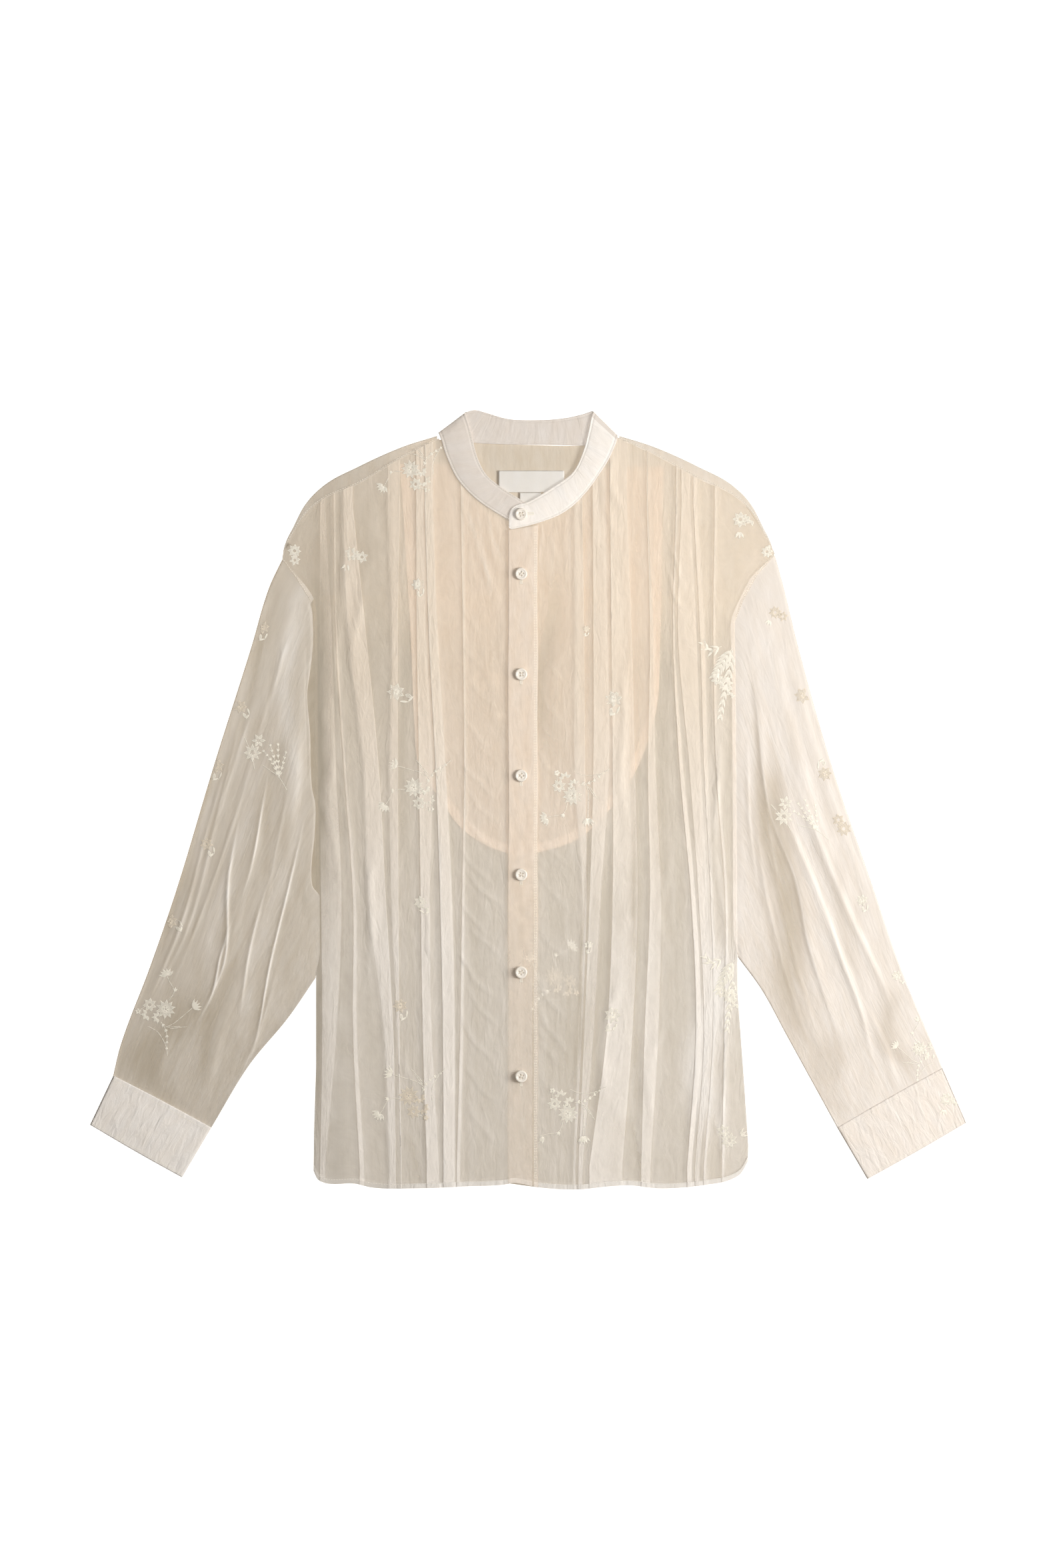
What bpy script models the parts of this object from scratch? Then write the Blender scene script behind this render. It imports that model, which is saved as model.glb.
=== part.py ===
"""A sheer embroidered shirt laid flat on its back, front side up.

X runs across the shirt, +Y towards the collar and +Z up from the surface it lies on.  Every cloth piece is
a surface worked out in millimetres along the middle of its wall, with a Solidify modifier for the wall.
The shirt's origin is on the surface, below the middle of its outline.
"""
import math
from collections import namedtuple

import bmesh
import bpy
import numpy as np

MM = 0.001

# Walls, and the height of each layer's middle above the surface
WALL = 1.2
THIN_WALL = 1.0
SEAM_GAP = 0.45
NECK_GAP = 0.9
NECK_CLEARANCE = 4.0
ARMHOLE_GAP = 0.8
SHOULDER_GAP = 1.1
CAP_TIP_INSET = 7.5
TIP_INSET = 3.5
CAP_GAP = 1.3
BACK_LEVEL = 0.6
BIB_LEVEL = 2.0
FRONT_LEVEL = 3.4
SIDE_LEVEL = 2.2
PLACKET_LEVEL = 5.0
LABEL_LEVEL = 2.0
COLLAR_INSIDE_LEVEL = 2.1
COLLAR_OUTSIDE_LEVEL = 4.4
COLLAR_END_LEVEL = 5.0
CUFF_WALL = 1.5
CUFF_LEVEL = 3.7

# Distances over which a front sinks to its level: below the shoulder, above the hem, at its side, at the armhole
TOP_FADE = 14.0
HEM_FADE = 10.0
SIDE_FADE = 4.0
ARMHOLE_FADE = 30.0

# Shoulder outline, from the neck point out to the top of the armhole seam
Shoulder = namedtuple("Shoulder", "half_width height strip")
SHOULDER = (
    Shoulder(86.0, 356.0, 2.5),
    Shoulder(122.5, 344.5, 9.0),
    Shoulder(166.0, 325.0, 14.5),
    Shoulder(201.0, 305.5, 11.0),
    Shoulder(219.0, 286.0, 7.5),
    Shoulder(229.0, 266.5, 4.5),
    Shoulder(238.0, 247.0, 3.0),
    Shoulder(240.0, 238.0, 2.8),
)
STRIP_SHARE = {"left": 1.0, "right": 0.75}
OUTWARD = {"left": -1, "right": 1}
YOKE_SEAM_HEIGHT = 199.5
BACK_NECK_SEAM = ((-90.0, 352.0), (-55.0, 348.7), (0.0, 346.5), (56.0, 346.0), (90.0, 350.0))

# Armhole seam on each side, from the shoulder outline in to the side fold
ARMHOLE = {
    "left": ((-239.5, 234.7), (-226.0, 215.8), (-212.2, 193.7)),
    "right": ((240.8, 239.2), (223.0, 219.0), (201.8, 173.5)),
}

# Side folds of the body, by height
SIDE = {
    "left": ((193.7, -211.0), (156.0, -209.6), (65.0, -209.6), (-65.0, -207.8), (-173.5, -207.0),
             (-260.0, -207.0), (-325.0, -209.0), (-380.0, -209.6)),
    "right": ((173.5, 201.8), (65.0, 203.1), (-65.0, 204.0), (-188.5, 204.4), (-269.0, 210.3),
              (-336.7, 214.8), (-380.0, 214.0)),
}
HEM = ((-209.6, -361.0), (-202.5, -371.5), (-193.4, -374.6), (-110.2, -379.2), (-15.3, -376.0), (49.1, -380.0),
       (129.0, -379.0), (171.9, -375.5), (199.9, -369.2), (214.0, -356.0))

# Neckline of the fronts
NECKLINE = {
    "left": ((-86.1, 354.8), (-84.4, 349.6), (-79.6, 334.4), (-68.3, 312.0), (-47.8, 291.2), (-20.2, 273.7),
             (6.0, 258.0)),
    "right": ((3.0, 267.0), (10.7, 270.4), (35.4, 280.8), (56.2, 299.7), (75.1, 325.9), (83.6, 342.4),
              (86.1, 349.5)),
}

# Pleats: the fold line and the width of cloth laid under it, both at the heights of PLEAT_ROWS.
# The cloth under a fold lies on the side that "turn" names, 1 towards +X and -1 towards -X.
PLEAT_ROWS = (286.0, 162.5, 32.5, -97.5, -227.5, -357.5)
Pleat = namedtuple("Pleat", "name turn line under rise")
PLEATS = {
    "left": (
        Pleat("side", 1, (-205.0, -204.5, -204.0, -202.0, -201.0, -203.0),
              (9.0, 15.0, 17.0, 20.0, 15.0, 6.0), 1.2),
        Pleat("hem_ridge", 1, (-176.5, -176.0, -172.5, -169.0, -171.0, -164.5),
              (1.5, 1.5, 2.0, 3.0, 4.0, 4.5), 1.0),
        Pleat("wide_slanting", -1, (-160.0, -150.0, -142.0, -136.0, -131.6, -129.0),
              (9.0, 15.0, 14.0, 14.0, 9.0, 6.5), 1.8),
        Pleat("wedge", -1, (-125.1, -127.1, -126.6, -125.7, -124.4, -122.0),
              (8.0, 5.8, 6.5, 5.0, 2.5, 1.5), 1.3),
        Pleat("inner", 1, (-109.5, -108.9, -106.9, -105.0, -103.0, -99.1),
              (6.5, 9.1, 13.0, 9.1, 9.1, 11.5), 1.4),
        Pleat("bright", 1, (-101.1, -97.2, -90.7, -86.1, -83.5, -82.9),
              (7.8, 8.5, 9.8, 11.7, 11.7, 10.5), 2.0),
        Pleat("fine", 1, (-66.0, -64.0, -62.7, -64.7, -66.6, -69.9),
              (3.2, 3.2, 3.2, 3.2, 3.2, 3.2), 1.0),
        Pleat("gather_outer", 1, (-56.0, -42.0, -36.0, -36.0, -38.0, -40.0),
              (6.0, 7.0, 7.0, 5.0, 4.0, 4.0), 1.5),
        Pleat("gather_inner", 1, (-37.0, -25.0, -23.5, -24.0, -25.0, -26.0),
              (4.5, 3.0, 2.0, 2.0, 2.0, 2.0), 1.2),
    ),
    "right": (
        Pleat("gather_inner", 1, (19.0, 15.0, 14.0, 13.5, 13.0, 13.0),
              (4.0, 3.5, 3.0, 3.0, 3.0, 3.0), 1.2),
        Pleat("gather_outer", 1, (33.0, 27.0, 25.0, 25.0, 25.0, 25.0),
              (5.5, 5.0, 4.0, 4.0, 4.0, 4.0), 1.4),
        Pleat("groove", -1, (51.7, 54.3, 55.6, 55.6, 51.0, 44.0),
              (7.0, 9.1, 10.4, 5.2, 3.9, 3.0), 1.6),
        Pleat("straight", 1, (62.7, 63.4, 63.4, 60.5, 55.3, 48.9),
              (11.5, 14.3, 15.6, 13.0, 11.7, 5.2), 1.6),
        Pleat("long", 1, (79.6, 80.9, 82.2, 82.2, 76.4, 59.5),
              (16.9, 20.2, 22.1, 24.7, 25.4, 32.5), 2.0),
        Pleat("widening", 1, (115.4, 118.6, 116.7, 118.6, 113.4, 110.2),
              (2.0, 3.9, 7.8, 11.0, 13.7, 9.1), 1.8),
        Pleat("fine", 1, (138.0, 138.5, 146.6, 158.0, 163.0, 155.0),
              (2.0, 2.0, 3.9, 5.2, 5.2, 5.2), 1.2),
        Pleat("slanting", 1, (146.5, 145.9, 157.0, 166.1, 171.3, 162.8),
              (9.1, 17.0, 11.7, 8.5, 6.0, 4.5), 1.6),
        Pleat("upper", 1, (160.9, 167.4, 171.3, 177.8, 180.0, 171.0),
              (3.9, 5.2, 3.9, 2.6, 2.6, 2.6), 1.2),
        Pleat("lower", 1, (180.5, 180.4, 183.0, 190.0, 190.8, 186.5),
              (2.6, 2.6, 2.6, 2.6, 2.6, 2.6), 1.2),
    ),
}
PLEAT_SLOPE = 1.5
COLUMN_SPACING = 0.9
UPPER_ROWS = 6
LOWER_ROWS = 13
EDGE_ROUNDS = 6
CAP_SHARES = (0.35, 0.7, 1.0)
CAP_LEAST_DEPTH = 0.6
BESIDE_PLACKET = -21.2

# Back panel: heights of its rows, and its edges above the side folds
BACK_ROWS = (187.0, 173.5, 120.0, 65.0, 0.0, -65.0, -130.0, -188.0, -250.0, -300.0, -340.0, -362.0)
BACK_COLUMNS = 15
BACK_TOP_LEFT = -212.5
BACK_ARMHOLE_RIGHT = 201.3
BACK_ARMHOLE_SLOPE = 0.36
BACK_HEM = (-205.0, 210.0)
BACK_HEM_INSET = 0.8

# Yoke: places of its columns out from the neck, and the least depth of its folded strip
YOKE_COLUMNS = (104.0, 122.5, 144.0, 166.0, 184.0, 201.0, 211.0, 219.0, 224.5, 229.0, 234.0)
YOKE_LEAST_DEPTH = 2.5
YOKE_FOLD_INSET = 0.35
YOKE_FOLD_HALF = 0.8
STRIP_LEAST_DEPTH = 0.5

# Placket, bib lining and labels
PLACKET_EDGES = (-19.8, 9.4)
PLACKET_TOP = (263.2, 268.5)
PLACKET_BOTTOM = -375.5
UNDERLAP_EDGE = 4.0
PLACKET_LAP = 5.0
BIB_NECK_GAP = 3.0
BIB = {
    "left": ((-125.0, 328.0), (-114.5, 160.0), (-110.8, 71.0), (-107.6, 37.7), (-88.7, 4.6), (-62.1, -28.6),
             (-22.4, -51.0), (4.0, -54.0)),
    "right": ((131.6, 325.0), (129.0, 160.0), (125.8, 91.7), (116.0, 54.0), (103.7, 25.4), (82.9, -5.9),
              (47.8, -37.0), (9.4, -52.0)),
}
LABEL = {"centre": (3.2, 310.7), "size": (64.0, 21.0)}
CARE_TAG = {"centre": (2.3, 292.8), "size": (20.5, 13.8)}

# Collar band: its seam and its top edge, from the left end round the back to the right end
Band = namedtuple("Band", "seam_x seam_y top_x top_y level")
BAND = (
    Band(-17.0, 273.6, 4.0, 287.5, 0.60),
    Band(-20.2, 273.7, -4.2, 291.2, 0.60),
    Band(-47.8, 291.2, -27.0, 305.5, 0.85),
    Band(-68.3, 312.0, -41.3, 317.9, 1.0),
    Band(-79.6, 334.8, -49.7, 334.8, 1.0),
    Band(-84.4, 350.0, -55.6, 358.0, 1.0),
    Band(-86.4, 355.6, -60.2, 373.0, 0.9),
    Band(-87.2, 358.0, -61.6, 376.6, 0.5),
    Band(-84.6, 357.0, -59.4, 378.6, 0.1),
    Band(-74.0, 353.0, -51.0, 380.2, 0.0),
    Band(-54.9, 348.7, -40.0, 377.4, 0.0),
    Band(-24.0, 347.0, -18.0, 371.4, 0.0),
    Band(10.0, 346.5, 10.7, 370.5, 0.0),
    Band(36.0, 346.0, 34.0, 372.2, 0.0),
    Band(56.2, 346.0, 50.0, 375.4, 0.0),
    Band(74.0, 350.0, 58.6, 378.0, 0.0),
    Band(84.6, 354.0, 61.8, 379.2, 0.1),
    Band(87.2, 355.0, 63.4, 378.2, 0.5),
    Band(86.4, 351.0, 61.8, 374.0, 0.9),
    Band(83.6, 343.0, 58.6, 359.0, 1.0),
    Band(75.1, 326.3, 54.0, 341.0, 1.0),
    Band(56.2, 299.7, 43.9, 319.8, 1.0),
    Band(35.4, 280.8, 24.0, 305.0, 1.1),
    Band(10.7, 270.4, 1.0, 291.2, 1.25),
    Band(-13.6, 265.6, -10.6, 287.6, 1.25),
    Band(-18.6, 268.4, -17.8, 281.6, 1.25),
)
BAND_STEPS = 3

# Sleeves: outer edge from the armhole seam to the cuff, inner edge from the body to the cuff
SLEEVE_OUTER = {
    "left": ((-239.5, 234.7), (-252.5, 208.0), (-270.0, 149.5), (-307.0, 32.5), (-342.2, -84.5),
             (-368.9, -162.5), (-398.1, -240.5), (-405.2, -269.8)),
    "right": ((240.8, 239.2), (249.3, 208.0), (263.6, 149.5), (296.7, 32.5), (336.4, -84.5),
              (363.0, -162.5), (395.5, -240.5), (404.8, -262.4)),
}
SLEEVE_INNER = {
    "left": ((-208.7, -174.5), (-234.3, -212.6), (-271.4, -257.5), (-309.7, -320.5)),
    "right": ((206.2, -154.5), (227.2, -184.0), (252.5, -230.0), (302.2, -320.5)),
}
CUFF_END = {
    "left": ((-427.4, -316.6), (-337.7, -367.9)),
    "right": ((427.4, -314.6), (331.0, -369.6)),
}
# Sleeve folds: place across the sleeve, 0 at the outer edge, at the armhole and at the cuff; half width; rise
SleeveFold = namedtuple("SleeveFold", "name at_armhole at_cuff half_width rise start end")
SLEEVE_FOLDS = (
    SleeveFold("outer", 0.12, 0.20, 0.050, 1.4, 0.10, 0.95),
    SleeveFold("second", 0.26, 0.38, 0.055, 1.9, 0.05, 1.00),
    SleeveFold("third", 0.42, 0.56, 0.050, 1.7, 0.15, 1.00),
    SleeveFold("fourth", 0.58, 0.74, 0.050, 2.1, 0.05, 0.95),
    SleeveFold("inner", 0.76, 0.88, 0.045, 1.5, 0.00, 0.80),
)
SLEEVE_ROWS = 11
SLEEVE_COLUMNS = 20
SLEEVE_BODY_START = 25.0
SLEEVE_FOLD_FADE = 0.12
SLEEVE_TOP_FADE = 0.1
SLEEVE_CUFF_FADE = 0.06
CUFF_ROWS = 4
CUFF_COLUMNS = 8
CUFF_SEAM_GAP = 0.85
CUFF_END_INSET = 0.1
ROUND_EDGE = 1.5

# Buttons down the middle of the placket, and the one on the collar band
BUTTON_X = -6.8
BUTTON_HEIGHTS = (278.5, 220.4, 122.5, 23.7, -72.8, -168.0, -269.4)
BUTTON_RADIUS = 6.0
BUTTON_THICKNESS = 2.4
BUTTON_DISH = 0.7
BUTTON_SIDES = 16
BUTTON_CLEARANCE = 0.35
BUTTON_UNDERCUT = 0.9
BUTTON_EDGE = 1.0
BUTTON_RIM = (0.7, 1.7, 2.4)

MERGE = 0.02
SHARP_ANGLE = 40.0

# Finishes: base colour, roughness
FINISHES = {
    "sheer_cloth": ((0.80, 0.76, 0.68), 0.75),
    "lining_cloth": ((0.86, 0.78, 0.68), 0.75),
    "band_cloth": ((0.86, 0.83, 0.76), 0.7),
    "label_cloth": ((0.88, 0.87, 0.83), 0.8),
    "button_shell": ((0.86, 0.83, 0.76), 0.3),
}


def through(points, at):
    """A smooth curve y(x) through table points, by cubic Hermite pieces with averaged slopes."""
    table = np.array(sorted(points), dtype=float)
    x, y = table[:, 0], table[:, 1]
    steps = np.diff(y) / np.diff(x)
    slopes = np.concatenate([[steps[0]], (steps[:-1] + steps[1:]) / 2, [steps[-1]]])
    at = np.clip(np.asarray(at, dtype=float), x[0], x[-1])
    piece = np.clip(np.searchsorted(x, at) - 1, 0, len(x) - 2)
    span = x[piece + 1] - x[piece]
    t = (at - x[piece]) / span
    start = (1 + 2 * t) * (1 - t) ** 2 * y[piece] + t * (1 - t) ** 2 * span * slopes[piece]
    finish = t * t * (3 - 2 * t) * y[piece + 1] + t * t * (t - 1) * span * slopes[piece + 1]
    return start + finish


def along(points, share):
    """Points at shares of the length of a smooth curve through the given points."""
    points = np.array(points, dtype=float)
    lengths = np.concatenate([[0.0], np.cumsum(np.linalg.norm(np.diff(points, axis=0), axis=1))])
    at = np.asarray(share, dtype=float) * lengths[-1]
    columns = [through(list(zip(lengths, points[:, k])), at) for k in range(points.shape[1])]
    return np.stack(columns, axis=-1)


def ease(value):
    """0 below 0, 1 above 1 and a smooth step between."""
    value = np.clip(value, 0.0, 1.0)
    return value * value * (3 - 2 * value)


def finish(name):
    """The named Principled material."""
    found = bpy.data.materials.get(name)
    if found:
        return found
    colour, roughness = FINISHES[name]
    made = bpy.data.materials.new(name)
    made.use_nodes = True
    shader = made.node_tree.nodes["Principled BSDF"]
    shader.inputs["Base Color"].default_value = (*colour, 1.0)
    shader.inputs["Roughness"].default_value = roughness
    shader.inputs["Metallic"].default_value = 0.0
    made.diffuse_color = (*colour, 1.0)
    return made


def cloth(name, patches, material, wall=WALL):
    """One cloth piece: grids of points in millimetres, merged where they meet, with a wall round them."""
    model = bmesh.new()
    for patch in patches:
        rows, columns = patch.shape[:2]
        corners = [[model.verts.new(patch[i, j] * MM) for j in range(columns)] for i in range(rows)]
        for i in range(rows - 1):
            for j in range(columns - 1):
                model.faces.new((corners[i][j], corners[i + 1][j], corners[i + 1][j + 1], corners[i][j + 1]))
    bmesh.ops.remove_doubles(model, verts=model.verts, dist=MERGE * MM)
    bmesh.ops.dissolve_degenerate(model, edges=model.edges, dist=MERGE * MM)
    bmesh.ops.recalc_face_normals(model, faces=model.faces)
    mesh = bpy.data.meshes.new(name)
    model.to_mesh(mesh)
    model.free()
    mesh.materials.append(finish(material))
    piece = bpy.data.objects.new(name, mesh)
    bpy.context.collection.objects.link(piece)
    solid = piece.modifiers.new("wall", "SOLIDIFY")
    solid.thickness = wall * MM
    solid.offset = 0.0
    solid.use_even_offset = False
    solid.use_rim = True
    mesh.shade_smooth()
    mesh.set_sharp_from_angle(angle=math.radians(SHARP_ANGLE))
    return piece


def shoulder_height(x):
    """Height of the shoulder outline at x, the middle of the yoke's fold."""
    return through([(row.half_width, row.height) for row in SHOULDER], np.abs(x)) - WALL / 2


def shoulder_seam(x, side):
    """Height of the seam between the yoke's front strip and the front."""
    strip = through([(row.half_width, row.strip) for row in SHOULDER], np.abs(x)) * STRIP_SHARE[side]
    return shoulder_height(x) - strip


def hem_height(x):
    """Height of the middle of the hem's edge at x."""
    return through(HEM, x)


def side_line(y, side):
    """X of the body's side fold at height y."""
    return through(SIDE[side], y)


def front_top(x, side):
    """Top edge of a front: the shoulder seam, then the neckline."""
    neck = through(NECKLINE[side], x) - NECK_GAP
    seam = shoulder_seam(x, side) - SHOULDER_GAP
    return np.where(np.abs(x) > SHOULDER[0].half_width, seam, np.minimum(neck, seam + 60.0))


def pleat_columns(side):
    """Functions x(y) and their rise for the lines of the pleats, from left to right."""
    columns = []
    for pleat in PLEATS[side]:
        near = [(y, x - pleat.turn * PLEAT_SLOPE) for y, x in zip(PLEAT_ROWS, pleat.line)]
        line = list(zip(PLEAT_ROWS, pleat.line))
        far = [(y, x + pleat.turn * wide) for y, x, wide in zip(PLEAT_ROWS, pleat.line, pleat.under)]
        three = [(near, 0.0), (line, pleat.rise), (far, 0.0)]
        columns += three if pleat.turn > 0 else three[::-1]
    return [(lambda y, points=points: through(points, y), rise) for points, rise in columns]


def front_columns(side):
    """Functions x(y) and their rise for the columns of a front, from left to right."""
    folded_edge = (lambda y: side_line(y, side), 0.0)
    if side == "left":
        beside = (lambda y: np.full_like(y, BESIDE_PLACKET), 0.0)
        underlap = (lambda y: np.full_like(y, UNDERLAP_EDGE), 0.0)
        return [folded_edge, *pleat_columns(side), beside, underlap]
    below_placket = (lambda y: np.full_like(y, PLACKET_EDGES[1] - PLACKET_LAP), 0.0)
    return [below_placket, *pleat_columns(side), folded_edge]


def rows_between(curves, start, stop, rows):
    """A grid whose columns follow the curves between two edges, each edge a height as a function of x."""
    share = np.linspace(0.0, 1.0, rows)
    grid = []
    for curve in curves:
        top = np.array([0.0])
        low = np.array([0.0])
        for _ in range(EDGE_ROUNDS):
            top = start(curve(top))
            low = stop(curve(low))
        y = top + (low - top) * share
        grid.append(np.stack([curve(y), y], axis=-1))
    grid = np.stack(grid)
    for j in range(1, len(curves)):
        grid[j, :, 0] = np.maximum(grid[j, :, 0], grid[j - 1, :, 0] + COLUMN_SPACING)
    grid[-1, :, 0] = curves[-1](grid[-1, :, 1])
    for j in range(len(curves) - 2, -1, -1):
        grid[j, :, 0] = np.minimum(grid[j, :, 0], grid[j + 1, :, 0] - COLUMN_SPACING)
    return grid


def raised(grid, rises, side):
    """The grid with its heights: the level of the front, its pleats, and the fall towards the side fold."""
    x, y = grid[..., 0], grid[..., 1]
    fade = ease((front_top(x, side) - y) / TOP_FADE) * ease((y - hem_height(x)) / HEM_FADE)
    below_armhole = ease((ARMHOLE[side][-1][1] - y) / ARMHOLE_FADE)
    near_side = 1 - ease(np.abs(x - side_line(y, side)) / SIDE_FADE)
    fall = (FRONT_LEVEL - SIDE_LEVEL) * near_side * below_armhole
    return np.dstack([x, y, FRONT_LEVEL + np.array(rises)[:, None] * fade - fall])


def cap(edge, side):
    """The part of a front from its outer column above the armhole out to the tip of the armhole seam."""
    tip_x = ARMHOLE[side][0][0] - OUTWARD[side] * CAP_TIP_INSET
    seam = [(x, y + CAP_GAP) for x, y in ARMHOLE[side]]
    rows = [edge]
    for share in CAP_SHARES:
        x = edge[:, 0] + (tip_x - edge[:, 0]) * share
        high = shoulder_seam(x[0], side) - SHOULDER_GAP
        low = min(through(seam, x[-1]), high - CAP_LEAST_DEPTH)
        rows.append(np.stack([x, np.linspace(high, low, len(x)), np.full_like(x, FRONT_LEVEL)], axis=-1))
    return np.stack(rows)


def front(side):
    """A front panel: the part below the armhole, the part above it, and the cap out to the armhole seam."""
    columns = front_columns(side)
    curves = [curve for curve, _ in columns]
    rises = [rise for _, rise in columns]

    def shoulder(x):
        """The shoulder seam and the neckline."""
        return front_top(x, side)

    def armhole_foot(x):
        """The height at which the armhole ends."""
        return np.full_like(x, ARMHOLE[side][-1][1])

    upper = raised(rows_between(curves, shoulder, armhole_foot, UPPER_ROWS), rises, side)
    lower = raised(rows_between(curves, armhole_foot, hem_height, LOWER_ROWS), rises, side)
    edge = upper[0] if side == "left" else upper[-1]
    return cloth(f"front_{side}", [upper, lower, cap(edge, side)], "sheer_cloth")


def back():
    """The back panel, from the yoke seam to the hem."""
    across = np.linspace(0.0, 1.0, BACK_COLUMNS)
    rows = []
    for y in (YOKE_SEAM_HEIGHT - SEAM_GAP, *BACK_ROWS):
        left, right = side_line(y, "left"), side_line(y, "right")
        if y >= ARMHOLE["left"][-1][1]:
            left = BACK_TOP_LEFT
        if y >= ARMHOLE["right"][-1][1]:
            right = BACK_ARMHOLE_RIGHT + (y - ARMHOLE["right"][-1][1]) * BACK_ARMHOLE_SLOPE
        x = left + (right - left) * across
        rows.append(np.stack([x, np.full_like(x, y), np.full_like(x, BACK_LEVEL)], axis=-1))
    x = np.linspace(*BACK_HEM, BACK_COLUMNS)
    rows.append(np.stack([x, hem_height(x) + BACK_HEM_INSET, np.full_like(x, BACK_LEVEL)], axis=-1))
    return cloth("back", [np.stack(rows)], "sheer_cloth")


def yoke_plate(x, top):
    """Points of the yoke's back layer at x, from its upper edge down to the back's seam or the armhole."""
    side = "left" if x < 0 else "right"
    armhole = float(through([(px, py + CAP_GAP) for px, py in ARMHOLE[side]], x))
    low = max(YOKE_SEAM_HEIGHT, armhole)
    low = min(low, float(shoulder_height(x)) - YOKE_LEAST_DEPTH)
    high = top - ROUND_EDGE
    return [(x, high + (low - high) * share, BACK_LEVEL) for share in np.linspace(0.0, 1.0, 5)]


def yoke_strip(x):
    """Points of the strip in front at x, and of the fold over the shoulder."""
    side = "left" if x < 0 else "right"
    outline = float(shoulder_height(x))
    seam = min(float(shoulder_seam(x, side)), outline - ROUND_EDGE - STRIP_LEAST_DEPTH)
    middle = (BACK_LEVEL + FRONT_LEVEL) / 2
    turn = outline - YOKE_FOLD_INSET
    return [(x, seam, FRONT_LEVEL), (x, outline - ROUND_EDGE, FRONT_LEVEL), (x, turn, middle + YOKE_FOLD_HALF),
            (x, turn, middle - YOKE_FOLD_HALF)]


def yoke():
    """The yoke: its back layer, and the two strips that fold over the shoulders to the fronts."""
    neck_x = SHOULDER[0].half_width + NECK_CLEARANCE
    tip = SHOULDER[-1].half_width - TIP_INSET
    patches = []
    for outward in OUTWARD.values():
        places = [float(outward * x) for x in (neck_x, *YOKE_COLUMNS, tip)]
        patches.append(np.array([yoke_strip(x) + yoke_plate(x, float(shoulder_height(x))) for x in places]))
    middle = []
    for x in np.linspace(-neck_x, neck_x, 9):
        top = shoulder_height(x) if abs(x) >= neck_x else through(BACK_NECK_SEAM, x)
        middle.append(yoke_plate(float(x), float(top)))
    patches.append(np.array(middle))
    return cloth("yoke", patches, "sheer_cloth")


def tube(name, surface, level_top, wall, material, rows, across):
    """A flattened tube: surface(s, t) gives its plan, with rounded edges at t = 0 and t = 1."""
    rings = []
    for s in np.linspace(0.0, 1.0, rows):
        ends = surface(s, np.array([0.0, 1.0]))
        width = max(np.linalg.norm(ends[1] - ends[0]), 10.0)
        share = ROUND_EDGE / width
        t = np.concatenate([[share], np.linspace(0.0, 1.0, across)[1:-1], [1 - share]])
        plan = surface(s, t)
        top = np.column_stack([plan, level_top(s, t)])
        under = np.column_stack([plan, np.full(len(t), wall / 2)])[::-1]
        middle = (wall / 2 + level_top(s, np.array([0.0]))[0]) / 2
        outer = np.array([[*ends[0], middle]])
        inner = np.array([[*ends[1], middle]])
        rings.append(np.vstack([outer, top, inner, under, outer]))
    return cloth(name, [np.stack(rings)], material, wall)


def inset_line(points, distance):
    """The points moved square to their path, to the left of its direction."""
    points = np.array(points, dtype=float)
    run = np.gradient(points, axis=0)
    run /= np.linalg.norm(run, axis=1)[:, None]
    return points + distance * np.stack([-run[:, 1], run[:, 0]], axis=-1)


def sleeve(side):
    """A sleeve: a flattened tube between its outer edge, its inner edge, the armhole and the cuff seam."""
    turn = -OUTWARD[side]
    outer = inset_line(SLEEVE_OUTER[side], turn * WALL / 2)
    inner = inset_line(SLEEVE_INNER[side], -turn * WALL / 2)
    low = SLEEVE_INNER[side][0][1]
    high = ARMHOLE[side][-1][1] - SLEEVE_BODY_START
    body = [(side_line(y, side), y) for y in np.linspace(high, low, 5)]
    armhole = np.array(list(ARMHOLE[side]) + body, dtype=float)
    armhole = inset_line(armhole, -turn * (WALL / 2 + ARMHOLE_GAP))
    armhole[0] = outer[0]
    armhole[-1] = inner[0]
    cuff = np.array([outer[-1], inner[-1]])

    def surface(s, t):
        """The patch spanned by the four edge curves."""
        t = np.asarray(t)
        start, stop = along(outer, s), along(inner, s)
        first, last = along(armhole, t), cuff[0] + (cuff[1] - cuff[0]) * t[:, None]
        ruled = (1 - t)[:, None] * start + t[:, None] * stop
        across = (1 - s) * first + s * last
        corners = ((1 - s) * (1 - t)[:, None] * outer[0] + (1 - s) * t[:, None] * inner[0]
                   + s * (1 - t)[:, None] * cuff[0] + s * t[:, None] * cuff[1])
        return ruled + across - corners

    def level(s, t):
        """Height of the upper layer: its level and the folds."""
        height = np.full(len(t), FRONT_LEVEL)
        for fold in SLEEVE_FOLDS:
            centre = fold.at_armhole + (fold.at_cuff - fold.at_armhole) * s
            fade = ease((s - fold.start) / SLEEVE_FOLD_FADE) * ease((fold.end - s) / SLEEVE_FOLD_FADE)
            fade = fade * ease(s / SLEEVE_TOP_FADE) * ease((1 - s) / SLEEVE_CUFF_FADE)
            height = height + fold.rise * fade * (1 - ease(np.abs(t - centre) / fold.half_width))
        return height

    return tube(f"sleeve_{side}", surface, level, WALL, "sheer_cloth", SLEEVE_ROWS, SLEEVE_COLUMNS)


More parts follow.
